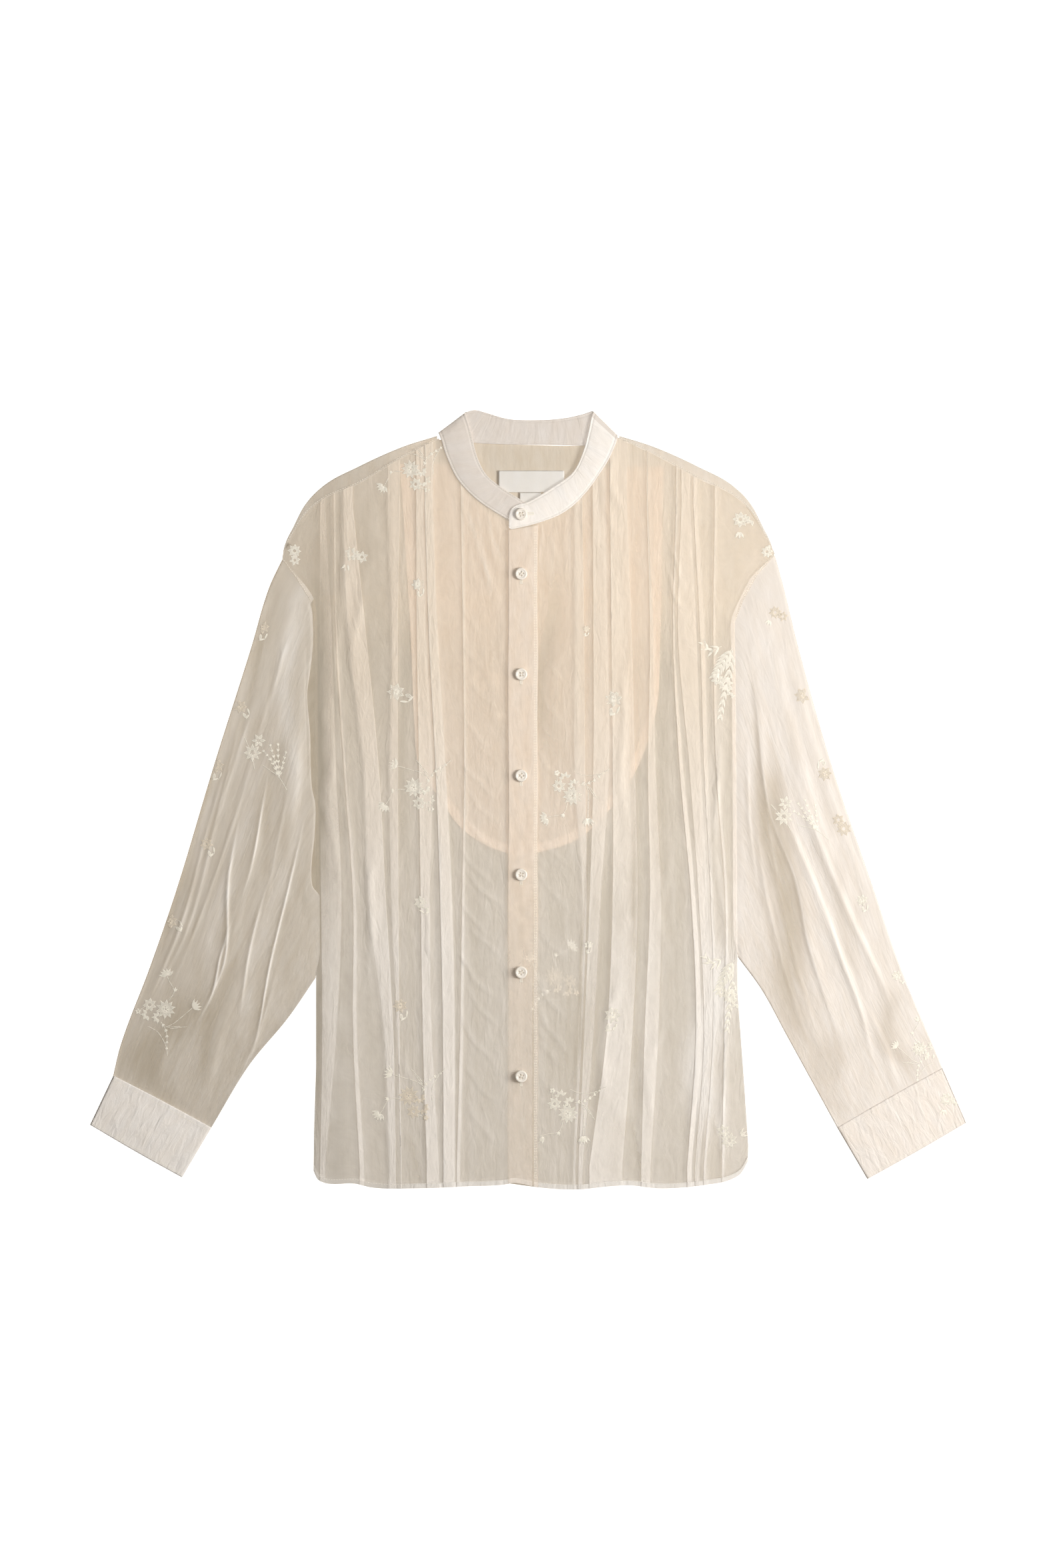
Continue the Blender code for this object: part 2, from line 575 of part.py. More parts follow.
def cuff(side):
    """A cuff: a flattened band round the sleeve's end."""
    seam = np.array([SLEEVE_OUTER[side][-1], SLEEVE_INNER[side][-1]], dtype=float)
    end = np.array(CUFF_END[side], dtype=float)
    axis = (end.mean(axis=0) - seam.mean(axis=0))
    axis /= np.linalg.norm(axis)
    seam = seam + axis * CUFF_SEAM_GAP
    end = end - axis * CUFF_END_INSET
    for pair in (seam, end):
        along_seam = (pair[1] - pair[0]) / np.linalg.norm(pair[1] - pair[0])
        pair[0] += along_seam * CUFF_WALL / 2
        pair[1] -= along_seam * CUFF_WALL / 2

    def surface(s, t):
        """The flat patch between the seam with the sleeve and the cuff's end."""
        t = np.asarray(t)[:, None]
        return (1 - s) * (seam[0] + (seam[1] - seam[0]) * t) + s * (end[0] + (end[1] - end[0]) * t)

    def level(_, t):
        """Height of the upper layer."""
        return np.full(len(t), CUFF_LEVEL)

    return tube(f"cuff_{side}", surface, level, CUFF_WALL, "band_cloth", CUFF_ROWS, CUFF_COLUMNS)


def collar_band():
    """The collar band: a loop folded flat at both shoulders, its right end on top at the front."""
    table = np.array(BAND, dtype=float)
    count = len(table)
    stations = np.linspace(0.0, count - 1.0, (count - 1) * 2 + 1)
    columns = [through(list(zip(range(count), table[:, k])), stations) for k in range(5)]
    share = np.linspace(0.0, 1.0, BAND_STEPS + 1)
    seam = np.stack(columns[0:2], axis=-1)
    top = np.stack(columns[2:4], axis=-1)
    level = np.clip(columns[4], 0.0, 1.25)
    height = COLLAR_INSIDE_LEVEL + (COLLAR_OUTSIDE_LEVEL - COLLAR_INSIDE_LEVEL) * level
    rows = []
    for k in share:
        plan = seam + (top - seam) * k
        rows.append(np.column_stack([plan, height]))
    return cloth("collar_band", [np.stack(rows, axis=1)], "band_cloth")


def placket():
    """The placket strip, from the collar band to the hem."""
    across = np.linspace(0.0, 1.0, 4)
    down = np.linspace(0.0, 1.0, 15)
    left, right = PLACKET_EDGES
    top = PLACKET_TOP[0] + (PLACKET_TOP[1] - PLACKET_TOP[0]) * across - SEAM_GAP
    x = left + WALL / 2 + (right - left - WALL) * across
    y = top[None, :] + (PLACKET_BOTTOM - top[None, :]) * down[:, None]
    x = np.broadcast_to(x, y.shape)
    return cloth("placket", [np.dstack([x, y, np.full_like(y, PLACKET_LEVEL)])], "band_cloth")


def bib(side):
    """One half of the bib lining, between a front and the back."""
    edge = along(BIB[side], np.linspace(0.0, 1.0, 15))
    middle_x = UNDERLAP_EDGE - 0.5 if side == "left" else PLACKET_EDGES[1] - PLACKET_LAP
    share = np.linspace(0.0, 1.0, 7)
    rows = [np.stack([x + (middle_x - x) * share, np.full(7, y), np.full(7, BIB_LEVEL)], axis=-1)
            for x, y in edge]
    grid = fit_below_neck(np.stack(rows), NECKLINE[side])
    return cloth(f"bib_{side}", [grid], "lining_cloth", THIN_WALL)


def fit_below_neck(grid, neck):
    """Rows that reach above the neckline are bent down along it."""
    limit = through(neck, grid[..., 0]) - BIB_NECK_GAP
    inside = np.abs(grid[..., 0]) < SHOULDER[0].half_width - 2.0
    fitted = grid.copy()
    highest = grid[0, 0, 1]
    lowest = grid[-1, 0, 1]
    share = (grid[..., 1] - lowest) / (highest - lowest)
    ceiling = np.where(inside, np.minimum(limit, highest), highest)
    fitted[..., 1] = lowest + (ceiling - lowest) * share
    return fitted


def plate(name, centre, size, level, wall, material):
    """A flat rectangle of cloth."""
    x = centre[0] + size[0] * np.linspace(-0.5, 0.5, 3)
    y = centre[1] + size[1] * np.linspace(-0.5, 0.5, 3)
    grid_y, grid_x = np.meshgrid(y, x)
    return cloth(name, [np.dstack([grid_x, grid_y, np.full_like(grid_x, level)])], material, wall)


def button(index, height):
    """A round button with a raised rim round a dished middle."""
    on_band = index == 0
    level = COLLAR_END_LEVEL if on_band else PLACKET_LEVEL
    base = level + WALL / 2 + BUTTON_CLEARANCE
    top = base + BUTTON_THICKNESS
    outer, inner, dish = (BUTTON_RADIUS - inset for inset in BUTTON_RIM)
    profile = ((0.0, base), (BUTTON_RADIUS - BUTTON_UNDERCUT, base), (BUTTON_RADIUS, base + BUTTON_EDGE),
               (outer, top), (inner, top), (dish, top - BUTTON_DISH), (0.0, top - BUTTON_DISH))
    model = bmesh.new()
    points = [model.verts.new((r * MM, 0.0, z * MM)) for r, z in profile]
    edges = [model.edges.new(pair) for pair in zip(points[:-1], points[1:])]
    bmesh.ops.spin(model, geom=points + edges, cent=(0, 0, 0), axis=(0, 0, 1), angle=2 * math.pi,
                   steps=BUTTON_SIDES, use_merge=True)
    bmesh.ops.remove_doubles(model, verts=model.verts, dist=MERGE * MM)
    bmesh.ops.recalc_face_normals(model, faces=model.faces)
    mesh = bpy.data.meshes.new(f"button_{index + 1}")
    model.to_mesh(mesh)
    model.free()
    mesh.materials.append(finish("button_shell"))
    mesh.shade_smooth()
    mesh.set_sharp_from_angle(angle=math.radians(SHARP_ANGLE))
    piece = bpy.data.objects.new(f"button_{index + 1}", mesh)
    piece.location = (BUTTON_X * MM, height * MM, 0.0)
    bpy.context.collection.objects.link(piece)
    return piece


def main():
    for old in list(bpy.data.objects):
        bpy.data.objects.remove(old)
    back()
    yoke()
    for side in ("left", "right"):
        bib(side)
        front(side)
        sleeve(side)
        cuff(side)
    collar_band()
    placket()
    plate("neck_label", LABEL["centre"], LABEL["size"], LABEL_LEVEL, THIN_WALL, "label_cloth")
    plate("care_tag", CARE_TAG["centre"], CARE_TAG["size"], LABEL_LEVEL, THIN_WALL, "label_cloth")
    for index, height in enumerate(BUTTON_HEIGHTS):
        button(index, height)


main()
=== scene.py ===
"""Looks of a sheer embroidered shirt laid flat, built as a Blender add-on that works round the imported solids.

Lengths in the tables are millimetres in the frame of the solids: X across the shirt, Y towards the collar,
Z up.
"""
import math
from collections import namedtuple

import bpy
import numpy as np
from bpy.props import FloatProperty, FloatVectorProperty, PointerProperty
from bpy.types import Operator, Panel, PropertyGroup
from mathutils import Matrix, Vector


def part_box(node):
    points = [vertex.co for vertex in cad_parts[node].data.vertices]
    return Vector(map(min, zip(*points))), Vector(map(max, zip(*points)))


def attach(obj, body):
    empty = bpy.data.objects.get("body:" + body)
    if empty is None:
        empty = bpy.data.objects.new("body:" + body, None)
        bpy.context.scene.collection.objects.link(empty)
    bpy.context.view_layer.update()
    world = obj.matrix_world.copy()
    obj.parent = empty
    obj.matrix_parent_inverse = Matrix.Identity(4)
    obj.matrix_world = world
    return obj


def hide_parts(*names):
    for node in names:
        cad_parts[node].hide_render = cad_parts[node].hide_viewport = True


bl_info = {
    "name": "Sheer embroidered shirt",
    "version": (1, 0, 0),
    "blender": (4, 5, 0),
    "location": "3D View > Sidebar > Shirt",
    "description": "Builds the cloth, trims, stitching and embroidery of a sheer shirt laid flat",
    "category": "Object",
}

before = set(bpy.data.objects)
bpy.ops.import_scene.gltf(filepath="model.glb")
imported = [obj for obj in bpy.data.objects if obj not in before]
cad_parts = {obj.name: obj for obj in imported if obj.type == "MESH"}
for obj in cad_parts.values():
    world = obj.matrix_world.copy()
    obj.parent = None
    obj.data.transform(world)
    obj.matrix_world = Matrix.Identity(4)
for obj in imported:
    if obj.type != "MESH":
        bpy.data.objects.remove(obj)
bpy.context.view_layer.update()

MM = 0.001
UV_UNIT = 100.0
ROOT = "root"
SIDES = ("left", "right")
OUTWARD = {"left": -1.0, "right": 1.0}


def records(kind, rows):
    """Rows of a table as named records."""
    return tuple(kind._make(row) for row in rows)


def sided(kind, tables):
    """The tables of both sides as named records."""
    return {side: records(kind, rows) for side, rows in tables.items()}


# Heights of the layers above the surface the shirt lies on
BACK_LEVEL = 0.6
BIB_LEVEL = 2.0
FRONT_LEVEL = 3.2
PLACKET_LEVEL = 5.0
COLLAR_INSIDE_LEVEL = 2.1
COLLAR_OUTSIDE_LEVEL = 4.4

# Body outline: half widths and heights of the shoulders, and the width of the yoke's strip at the front
Shoulder = namedtuple("Shoulder", "half_width height strip")
SHOULDER = records(Shoulder, (
    (86, 356, 2.5), (122.5, 344.5, 9), (166, 325, 14.5), (201, 305.5, 11), (219, 286, 7.5),
    (229, 266.5, 4.5), (238, 247, 3), (240.5, 236, 2.4),
))
STRIP_SHARE = {"left": 1.1, "right": 0.75}
ARMHOLE = {
    "left": ((-240, 235), (-226, 215.8), (-212.2, 193.7)),
    "right": ((240.8, 239.2), (223, 219), (210, 195), (201.8, 173.5)),
}
SIDE = {
    "left": ((193.7, -211), (156, -209.6), (65, -209.6), (-65, -207.8), (-173.5, -207),
             (-260, -207), (-325, -209), (-380, -209.6)),
    "right": ((173.5, 201.8), (65, 203.1), (-65, 204), (-188.5, 204.4), (-269, 210.3),
              (-336.7, 214.8), (-380, 214)),
}
HEM = ((-209.6, -361), (-206, -369), (-201, -372.4), (-193.4, -374.4), (-170, -374),
       (-152, -378), (-110.2, -378.8), (-60, -376.8), (-20, -374.6), (-15.3, -373.4), (10, -377.8),
       (49.1, -379.8), (76, -377), (98, -375.8), (129, -378.8), (171.9, -375.5), (199.9, -369.2),
       (208.5, -363), (214, -353))
NECKLINE = {
    "left": ((-86.1, 355.4), (-84.4, 349.9), (-79.6, 334.6), (-68.3, 312), (-47.8, 291.2), (-20.2, 273.7),
             (6, 258)),
    "right": ((3, 267), (10.7, 270.4), (35.4, 280.8), (56.2, 299.7), (75.1, 326), (83.6, 342.6),
              (86.1, 350)),
}
BACK_NECK_SEAM = ((-90, 352), (-55, 348.7), (0, 346.5), (56, 346), (90, 350))
YOKE_SEAM_HEIGHT = 199.5
YOKE_FRONT_LEVEL = FRONT_LEVEL + 0.35
YOKE_STRIP_ROWS = 8
YOKE_BEND_ROWS = 6
SHOULDER_BEND = 1.3
NECK_REACH = 89.0

# Pleats of the fronts: fold line and width of the cloth under it at the heights of PLEAT_ROWS.
# The cloth under a fold lies on the side that "turn" names, and "crease" is how sharply the fold is pressed.
# The glow is the change of cover beside the fold, at the top and at the hem.
PLEAT_ROWS = (286, 162.5, 32.5, -97.5, -227.5, -357.5)
Pleat = namedtuple("Pleat", "name turn line under crease glow")
PLEATS = sided(Pleat, {
    "left": (
        ("side", 1, (-203, -203.5, -203.5, -202, -201, -203), (5, 12, 16, 20, 14, 5), 0.2, (0, 0)),
        ("hem_ridge", 1, (-190, -188, -180, -171, -171, -164.5), (2, 2, 2, 3, 4, 4.5), 0.35, (0.1, 0.3)),
        ("wide_slanting", -1, (-171, -158.3, -145.9, -138.8, -131.6, -129),
         (9.8, 17, 15, 17, 9.1, 6.5), 0.3, (0.45, 0.3)),
        ("wedge", -1, (-125.1, -127.1, -127.1, -126.6, -125.6, -123.5),
         (11.7, 5.8, 8, 7, 2, 1), 0.4, (0.2, 0.1)),
        ("inner", 1, (-109.5, -108.9, -106.9, -105, -103, -99.1),
         (6.8, 9.1, 13.5, 9.1, 9.1, 12), 0.8, (0.25, 0.2)),
        ("bright", 1, (-101.1, -97.2, -90.7, -86.1, -83.5, -82.9),
         (7.8, 8.5, 9.8, 11.7, 11.7, 11), 1, (0.6, 0.5)),
        ("fine", 1, (-66, -64, -62.7, -64.7, -66.6, -69.9), (3.2, 2.6, 2, 2.6, 3.2, 3.2), 0.7, (0.2, 0.35)),
    ),
    "right": (
        ("groove", -1, (53, 54.6, 55.6, 56.9, 52.3, 46), (7.8, 9.1, 10.4, 4.2, 3.4, 2), 0.3, (0.35, 0)),
        ("straight", 1, (62.7, 63.4, 63.4, 59.8, 54.6, 48.9), (12, 14, 15.6, 11, 9, 4.2), 0.45, (0.3, 0.1)),
        ("long", 1, (79.6, 80.9, 82.2, 82.2, 76.4, 59.5),
         (16.9, 20.2, 22.1, 24.7, 25.4, 32.5), 1, (0.1, -0.25)),
        ("widening", 1, (115.4, 118.6, 116.7, 118.6, 113.4, 110.2),
         (1.5, 3.9, 7.8, 11, 13.7, 9.1), 0.7, (0.12, -0.1)),
        ("fine", 1, (144, 141, 147.5, 158.9, 163.5, 155), (2, 2, 3.9, 4.6, 5.2, 4.6), 0.95, (0.25, 0.2)),
        ("slanting", 1, (149.2, 145.9, 157, 166.1, 171.3, 162.8),
         (9.1, 18.5, 11.7, 9, 6, 4.5), 0.4, (0.3, 0.05)),
        ("upper", 1, (160.9, 167.4, 171.3, 177.8, 180, 171),
         (3.9, 4.8, 3.9, 2.6, 2.6, 2.6), 0.7, (0.3, 0.2)),
        ("lower", 1, (181.7, 180.4, 183, 192.1, 190.8, 188.8),
         (2.6, 2.6, 2.6, 2.6, 2.6, 2.6), 0.6, (0.3, 0.2)),
    ),
})

# Creases: a path from top to bottom, the half width of the ridge, its height, and how sharply it is pressed.
# A negative half width puts the steep flank on the left.
Crease = namedtuple("Crease", "path half_width height press")

# Soft ridges on the fronts: start, end, half width and height
Ridge = namedtuple("Ridge", "x0 y0 x1 y1 half_width height")
GATHERS = sided(Ridge, {
    "left": (
        (-40, 283, -21, 205, 3.2, 1.7), (-52, 291, -25, 172, 4.5, 1.5), (-61, 298, -44, 190, 4, 1.1),
        (-31, 277, -22, 235, 2.2, 1.3), (-71, 312, -66, 215, 4, 0.9), (-78, 330, -78, 240, 3.6, 0.8),
        (-36, 130, -22, 60, 5, 1.3), (-24, 190, -22, 120, 3, 0.9),
    ),
    "right": (
        (14.5, 268, 12.5, 216, 2, 1.5), (21, 271, 20, 205, 2.4, 1.3), (29, 275, 26, 222, 2.2, 1.5),
        (37, 279, 41, 200, 2.6, 1.5), (45, 286, 46.5, 212, 2.2, 1.2), (56, 297, 57, 235, 2.6, 1.2),
        (64, 309, 70, 235, 3, 1.2), (71, 320, 90, 250, 3.4, 1.3), (80, 336, 97, 265, 4.5, 1.2),
        (103, 342, 112, 250, 4, 0.8),
    ),
})
WRINKLES = sided(Ridge, {
    "left": (
        (-62, 150, -30, 118, 2.6, 0.50), (-58, 118, -24, 86, 2.2, 0.55), (-60, 76, -28, 46, 2.6, 0.60),
        (-50, 56, -22, 34, 2, 0.45), (-62, 34, -24, -2, 2.4, 0.65), (-58, 8, -24, -26, 2.2, 0.50),
        (-60, -22, -22, -52, 2.8, 0.65), (-64, -50, -30, -84, 2.2, 0.60), (-58, -72, -22, -104, 2.6, 0.75),
        (-62, -104, -30, -138, 2.4, 0.60), (-56, -124, -22, -152, 2.2, 0.70),
        (-66, -152, -28, -196, 3, 0.75), (-58, -186, -22, -226, 2.4, 0.60),
        (-64, -216, -26, -262, 2.8, 0.60), (-60, -262, -24, -298, 2.8, 0.50),
        (-56, -300, -26, -336, 3, 0.45), (-62, 186, -42, 160, 2.4, 0.40), (-120, 250, -112, 150, 4, 0.5),
        (-98, -110, -88, -170, 3, 0.6), (-150, 240, -168, 120, 6, 0.7), (-180, 230, -176, 60, 7, 0.7),
        (-190, 60, -178, -120, 6, 0.7), (-120, -240, -100, -300, 5, 0.5), (-150, -60, -146, -220, 6, 0.9),
    ),
    "right": (
        (12, 198, 40, 188, 2, 0.45), (11, 168, 34, 150, 2.2, 0.55), (14, 140, 38, 116, 2.2, 0.55),
        (11, 108, 36, 74, 2.6, 0.70), (12, 78, 32, 52, 2.2, 0.60), (12, 46, 34, 16, 2.4, 0.60),
        (12, -36, 44, -66, 2.4, 0.50), (11, -70, 42, -108, 2.4, 0.55), (12, -128, 44, -158, 2.6, 0.55),
        (11, -176, 40, -216, 2.8, 0.75), (12, -206, 46, -252, 3, 0.80), (14, -236, 40, -262, 2.6, 0.55),
        (12, -270, 40, -290, 2.6, 0.45), (96, 120, 100, -40, 6, 0.6), (140, 250, 160, 190, 2.4, 0.5),
        (136, 224, 160, 170, 3, 0.6), (148, 180, 176, 120, 3.4, 0.6), (186, 60, 194, -160, 5, 0.7),
        (130, -220, 120, -330, 6, 0.6), (86, -180, 76, -320, 7, 0.7), (136, -60, 140, -180, 6, 0.5),
        (196, -230, 194, -340, 4, 0.6),
    ),
})

# Places where the fronts show lighter or darker, partly the cloth's own uneven density and partly painted
# light:
# The height of a ridge here is a change of the cover.
# and painted highlights on the gathers under the collar and down the right side nearest the light.
# painted shade down the left side away from the light, in the right front's groove and over the right bib,
TONES = sided(Ridge, {
    "left": (
        (-194, 250, -196, -365, 15, -1.1), (-117, 190, -119, -110, 4.5, -0.55),
        (-177, 60, -172, -300, 7, -0.25), (-60, 285, -24, 186, 2, 0.55), (-40, 278, -23, 228, 1.6, 0.55),
        (-50, 288, -28, 160, 1.4, 0.45), (-74, 318, -70, 215, 2, 0.30), (-157, 290, -150, 190, 7, -0.25),
        (-86, 60, -84, -330, 3, 0.15), (-43, -60, -41, -330, 14, -0.12), (-200, -170, -201, -360, 5, -0.4),
    ),
    "right": (
        (107.5, 320, 111, -365, 5, -0.45), (58, 266, 59.5, -26, 3.2, -0.5), (60, -14, 49, -292, 1.6, -0.6),
        (133, 210, 140, -200, 6, -0.34), (186, 120, 192, -300, 11, 0.5), (192, -150, 199, -380, 18, 0.9),
        (28, 210, 30, 10, 13, -0.9), (90, -60, 80, -370, 22, -0.6), (14.5, 268, 12, 214, 1.2, 0.45),
        (25, 273, 23, 196, 1.3, 0.40), (41, 283, 43.5, 190, 1.4, 0.40), (66, 312, 76, 230, 1.8, 0.35),
        (150, -60, 152, -340, 5, -0.25), (30, -90, 32, -330, 12, -0.12),
    ),
})

# Edges of cloth laid below, crisp on one side, with a painted soft shadow over their reach on the other
Edge = namedtuple("Edge", "x0 y0 x1 y1 reach depth")
EDGES = sided(Edge, {
    "left": (
        (-113.4, -322, -103, -380, -7, 0.45), (-183, 300, -170, 60, -6, 0.2),
        (-150, 280, -133, 150, -7, 0.3), (-96, 60, -92, -300, -5, 0.2), (-140, -40, -133, -300, -6, 0.25),
        (-72, 60, -74, -340, -4, 0.18),
    ),
    "right": (
        (101, -305, 116, -381, -9, 0.5), (181, -300, 195, -378, -9, 0.5), (97, 200, 104, -330, 6, 0.3),
        (126, 280, 131, -250, -5, 0.25), (46, 10, 38, -300, -4, 0.16), (141, -40, 143, -330, -5, 0.25),
        (168, 40, 172, -200, -4, 0.2),
    ),
})

# Puckers that run from the placket's stitches on to the right front
PUCKERS = records(Ridge, (
    (9, y, 17 + 9 * math.sin(y * 1.7) ** 2, y - 5 - 4 * math.sin(y * 0.9) ** 2, 1.2,
     0.35 + 0.25 * math.sin(y * 2.3))
    for y in range(255, -365, -13)
))

PLACKET_EDGES = (-19.8, 9.4)
PLACKET_TOP = (263.2, 268.5)
PLACKET_BOTTOM = (-373.6, -377.6)
UNDERLAP_EDGE = 4.0
BIB = {
    "left": ((-125, 328), (-114.5, 160), (-110.8, 71), (-107.6, 37.7), (-88.7, 4.6), (-62.1, -28.6),
             (-22.4, -51), (4, -54)),
    "right": ((131.6, 325), (129, 160), (125.8, 91.7), (116, 54), (103.7, 25.4), (82.9, -5.9),
              (47.8, -37), (4.5, -53)),
}

# Collar band: its seam and its top edge, from the left end round the back to the right end
Band = namedtuple("Band", "seam_x seam_y top_x top_y level")
BAND = records(Band, (
    (-17, 273.6, 4, 287.5, 0.60), (-20.2, 273.7, -4.2, 291.2, 0.60), (-47.8, 291.2, -27, 305.5, 0.85),
    (-68.3, 312, -41.3, 317.9, 1), (-79.6, 334.8, -49.7, 334.8, 1), (-84.4, 350, -55.6, 358, 1),
    (-86.4, 355.6, -60.2, 373, 0.9), (-87.2, 358, -61.6, 376.6, 0.5), (-84.6, 357, -59.4, 378.6, 0.1),
    (-74, 353, -51, 380.2, 0), (-54.9, 348.7, -40, 377.4, 0), (-24, 347, -18, 371.4, 0),
    (10, 346.5, 10.7, 370.5, 0), (36, 346, 34, 372.2, 0), (56.2, 346, 50, 375.4, 0),
    (74, 350, 58.6, 378, 0), (84.6, 354, 61.8, 379.2, 0.1), (87.2, 355, 63.4, 378.2, 0.5),
    (86.4, 351, 61.8, 374, 0.9), (83.6, 343, 58.6, 359, 1), (75.1, 326.3, 54, 341, 1),
    (56.2, 299.7, 43.9, 319.8, 1), (35.4, 280.8, 24, 305, 1.1), (10.7, 270.4, 1, 291.2, 1.25),
    (-12.6, 264.6, -9.6, 288.2, 1.25), (-17.6, 264.4, -15.6, 284.6, 1.25),
    (-18.9, 266.6, -18.4, 278.6, 1.25),
))

# Sleeves and cuffs
SLEEVE_OUTER = {
    "left": ((-240, 234.7), (-252.5, 208), (-270, 149.5), (-307, 32.5), (-342.2, -84.5),
             (-368.9, -162.5), (-398.1, -240.5), (-405.2, -269.8)),
    "right": ((240.8, 239.2), (249.3, 208), (263.6, 149.5), (296.7, 32.5), (336.4, -84.5),
              (363, -162.5), (395.5, -240.5), (404.8, -262.4)),
}
SLEEVE_INNER = {
    "left": ((-207.4, -173.5), (-234.3, -212.6), (-271.4, -257.5), (-309.7, -320.5)),
    "right": ((204.8, -153.4), (227.2, -184), (252.5, -230), (302.2, -320.5)),
}
CUFF_END = {
    "left": ((-427.4, -316.6), (-337.7, -367.9)),
    "right": ((427.4, -314.6), (331, -369.6)),
}
SLEEVE_CREASES = sided(Crease, {
    "left": (
        (((-233, 163.8), (-242.1, 130.7), (-252, 92)), 3, 0.7, 0.3),
        (((-264.9, 102), (-277.9, 60.5), (-292, 16), (-306, -34)), 3, 0.7, 0.3),
        (((-249, 110), (-262, 66), (-276, 20)), 2.6, 0.5, 0.2),
        (((-270, 118), (-300, -2.6), (-333, -127.4), (-374.7, -210.6)), 3.2, 0.8, 0.3),
        (((-277, 96), (-312, -26), (-344, -138), (-380, -214)), 2.4, 0.7, 0.2),
        (((-262, 60), (-290, -30), (-322, -120), (-352, -190)), 3, 0.7, 0.2),
        (((-282.4, -18.2), (-292.2, -78), (-296.7, -159.9), (-322.1, -216.5)), 3, 1.1, 1),
        (((-254.5, 18.9), (-258.4, -2.6), (-269.4, -63.7), (-278, -92)), 2.4, 1, 0.9),
        (((-253.8, -78), (-271.4, -146.3), (-281.1, -210.6)), 2.6, 0.9, 0.6),
        (((-289.5, -119), (-300, -152), (-308.4, -189.8), (-322.7, -217.1)), 1.8, 0.9, 1),
        (((-217.4, -16.3), (-231.7, -78), (-251.9, -161.9), (-265.5, -234), (-275.3, -265.2)), 2, 1.1, 1),
        (((-222, 160), (-226, 40), (-240, -80)), 14, 1.6, 0),
        (((-240, 120), (-262, -20), (-288, -130), (-318, -250)), 11, 0.9, 0),
        (((-286, -180), (-304, -240), (-318, -300)), 10, 1.2, 0),
        (((-340, -200), (-352, -240), (-366, -285)), 8, 1, 0),
        (((-232, 20), (-244, -40), (-258, -110)), 3, 0.5, 0.2),
        (((-243, -160), (-262, -226), (-290, -290)), 5, 0.8, 0.3),
        (((-320, -60), (-342, -130), (-372, -200)), 3.4, 0.7, 0.2),
    ),
    "right": (
        (((216.1, 154.1), (223.3, 89.7), (236.3, -12.4), (261, -78), (274, -142.4), (293.5, -202.8),
          (316.9, -273)), -6, 1.2, 0.4),
        (((238.2, 15), (277.2, -78), (305.2, -152.1), (316.9, -179.4), (336, -240)), 6, 1.1, 0.3),
        (((256.4, 29.3), (299.3, -78), (320.8, -126.8), (344.2, -175.5), (361.7, -218.4)), 6, 1.3, 0.3),
        (((232, 180), (252, 90), (282, -20), (330, -130)), 12, 1.1, 0),
        (((244, 200), (272, 80), (312, -40), (360, -160)), 8, 0.6, 0),
        (((226, 90), (232, 0), (246, -90), (270, -190), (296, -270)), 5, 0.7, 0.1),
        (((222, -20), (232, -90), (252, -170), (278, -250)), 4, 0.7, 0.2),
        (((286, -90), (304, -150), (326, -210), (340, -270)), 3, 0.6, 0.2),
        (((330, -200), (348, -240), (362, -285)), 6, 0.8, 0.1),
        (((296, 40), (330, -60), (366, -150)), 5, 0.5, 0),
        (((214, 60), (216, -20), (224, -90)), 3, 0.5, 0.1),
    ),
})

# Painted light and shade across the sleeves: places where their cloth shows lighter or darker
SLEEVE_TONES = sided(Ridge, {
    "left": (
        (-228, 200, -219, -40, 9, 0.9), (-262, 20, -318, -215, 7, 0.5), (-236, -60, -282, -270, 8, 0.4),
        (-302, 30, -368, -190, 6, -0.5), (-330, -190, -352, -320, 22, -0.6),
        (-286, -150, -318, -300, 7, -0.5), (-250, 180, -300, -20, 5, -0.35), (-274, 110, -330, -90, 4, 0.5),
        (-240, 60, -258, -90, 5, -0.4),
    ),
    "right": (
        (246, 30, 298, -300, 19, -1.5), (298, -230, 322, -320, 18, -0.6), (350, -190, 386, -285, 10, -0.9),
        (230, 140, 326, -240, 6, 0.6), (222, 120, 236, -60, 4, -0.6), (300, -60, 340, -230, 6, -0.5),
        (236, -80, 290, -260, 3, 0.5),
    ),
})

# Where the left sleeve puffs up beside the body: height and x of its rounded inner edge
LEFT_PUFF = ((-94, -209), (-74.1, -211.6), (-28, -207.9), (-1.3, -207.9), (8.5, -210.3), (65, -212.9),
             (104, -215.5), (123.5, -212.9), (156, -209.8), (178.8, -210.5), (193.7, -212.2))

BUTTON_X = -6.8
HOLE_OFFSET = 1.25
BUTTON_HEIGHTS = (278.5, 220.4, 122.5, 23.7, -72.8, -168, -269.4)

# Steps and counts of the grids
FRONT_STEP = 2.4
FRONT_ROWS = 250
SLEEVE_ROWS = 230
SLEEVE_TOP_COLUMNS = 130
SLEEVE_UNDER_COLUMNS = 36

# Share of a tube's width that its folded edge takes, and the height of the sleeve's seam at the armhole
SLEEVE_FOLD = 0.004
CUFF_FOLD = 0.012
ARMHOLE_LEVEL = 2.7


def length_setting(name, description, default, low, high):
    """A length that a user may change, in metres."""
    return FloatProperty(name=name, description=description, default=default, min=low, max=high,
                         unit="LENGTH", precision=5)


def colour_setting(name, description, red, green, blue):
    """A colour that a user may change."""
    return FloatVectorProperty(name=name, description=description, subtype="COLOR", size=4,
                               default=(red, green, blue, 1.0), min=0.0, max=1.0)


class ShirtSizes(PropertyGroup):
    pleat_gap: length_setting(
        "Pleat gap", "Distance between two layers of a pressed pleat", 0.00042, 0.0001, 0.002)
    band_thickness: length_setting(
        "Band thickness", "Thickness of collar and cuffs, and twice the placket's", 0.0008, 0.0002, 0.002)
    hem_width: length_setting("Hem width", "Width of the turned hem", 0.0048, 0.002, 0.02)
    stitch_length: length_setting("Stitch length", "Length of a sewing stitch", 0.0021, 0.001, 0.006)
    thread_width: length_setting("Thread width", "Width of the sewing thread", 0.0004, 0.0001, 0.002)
    button_radius: length_setting("Button radius", "Radius of a button", 0.006, 0.003, 0.015)


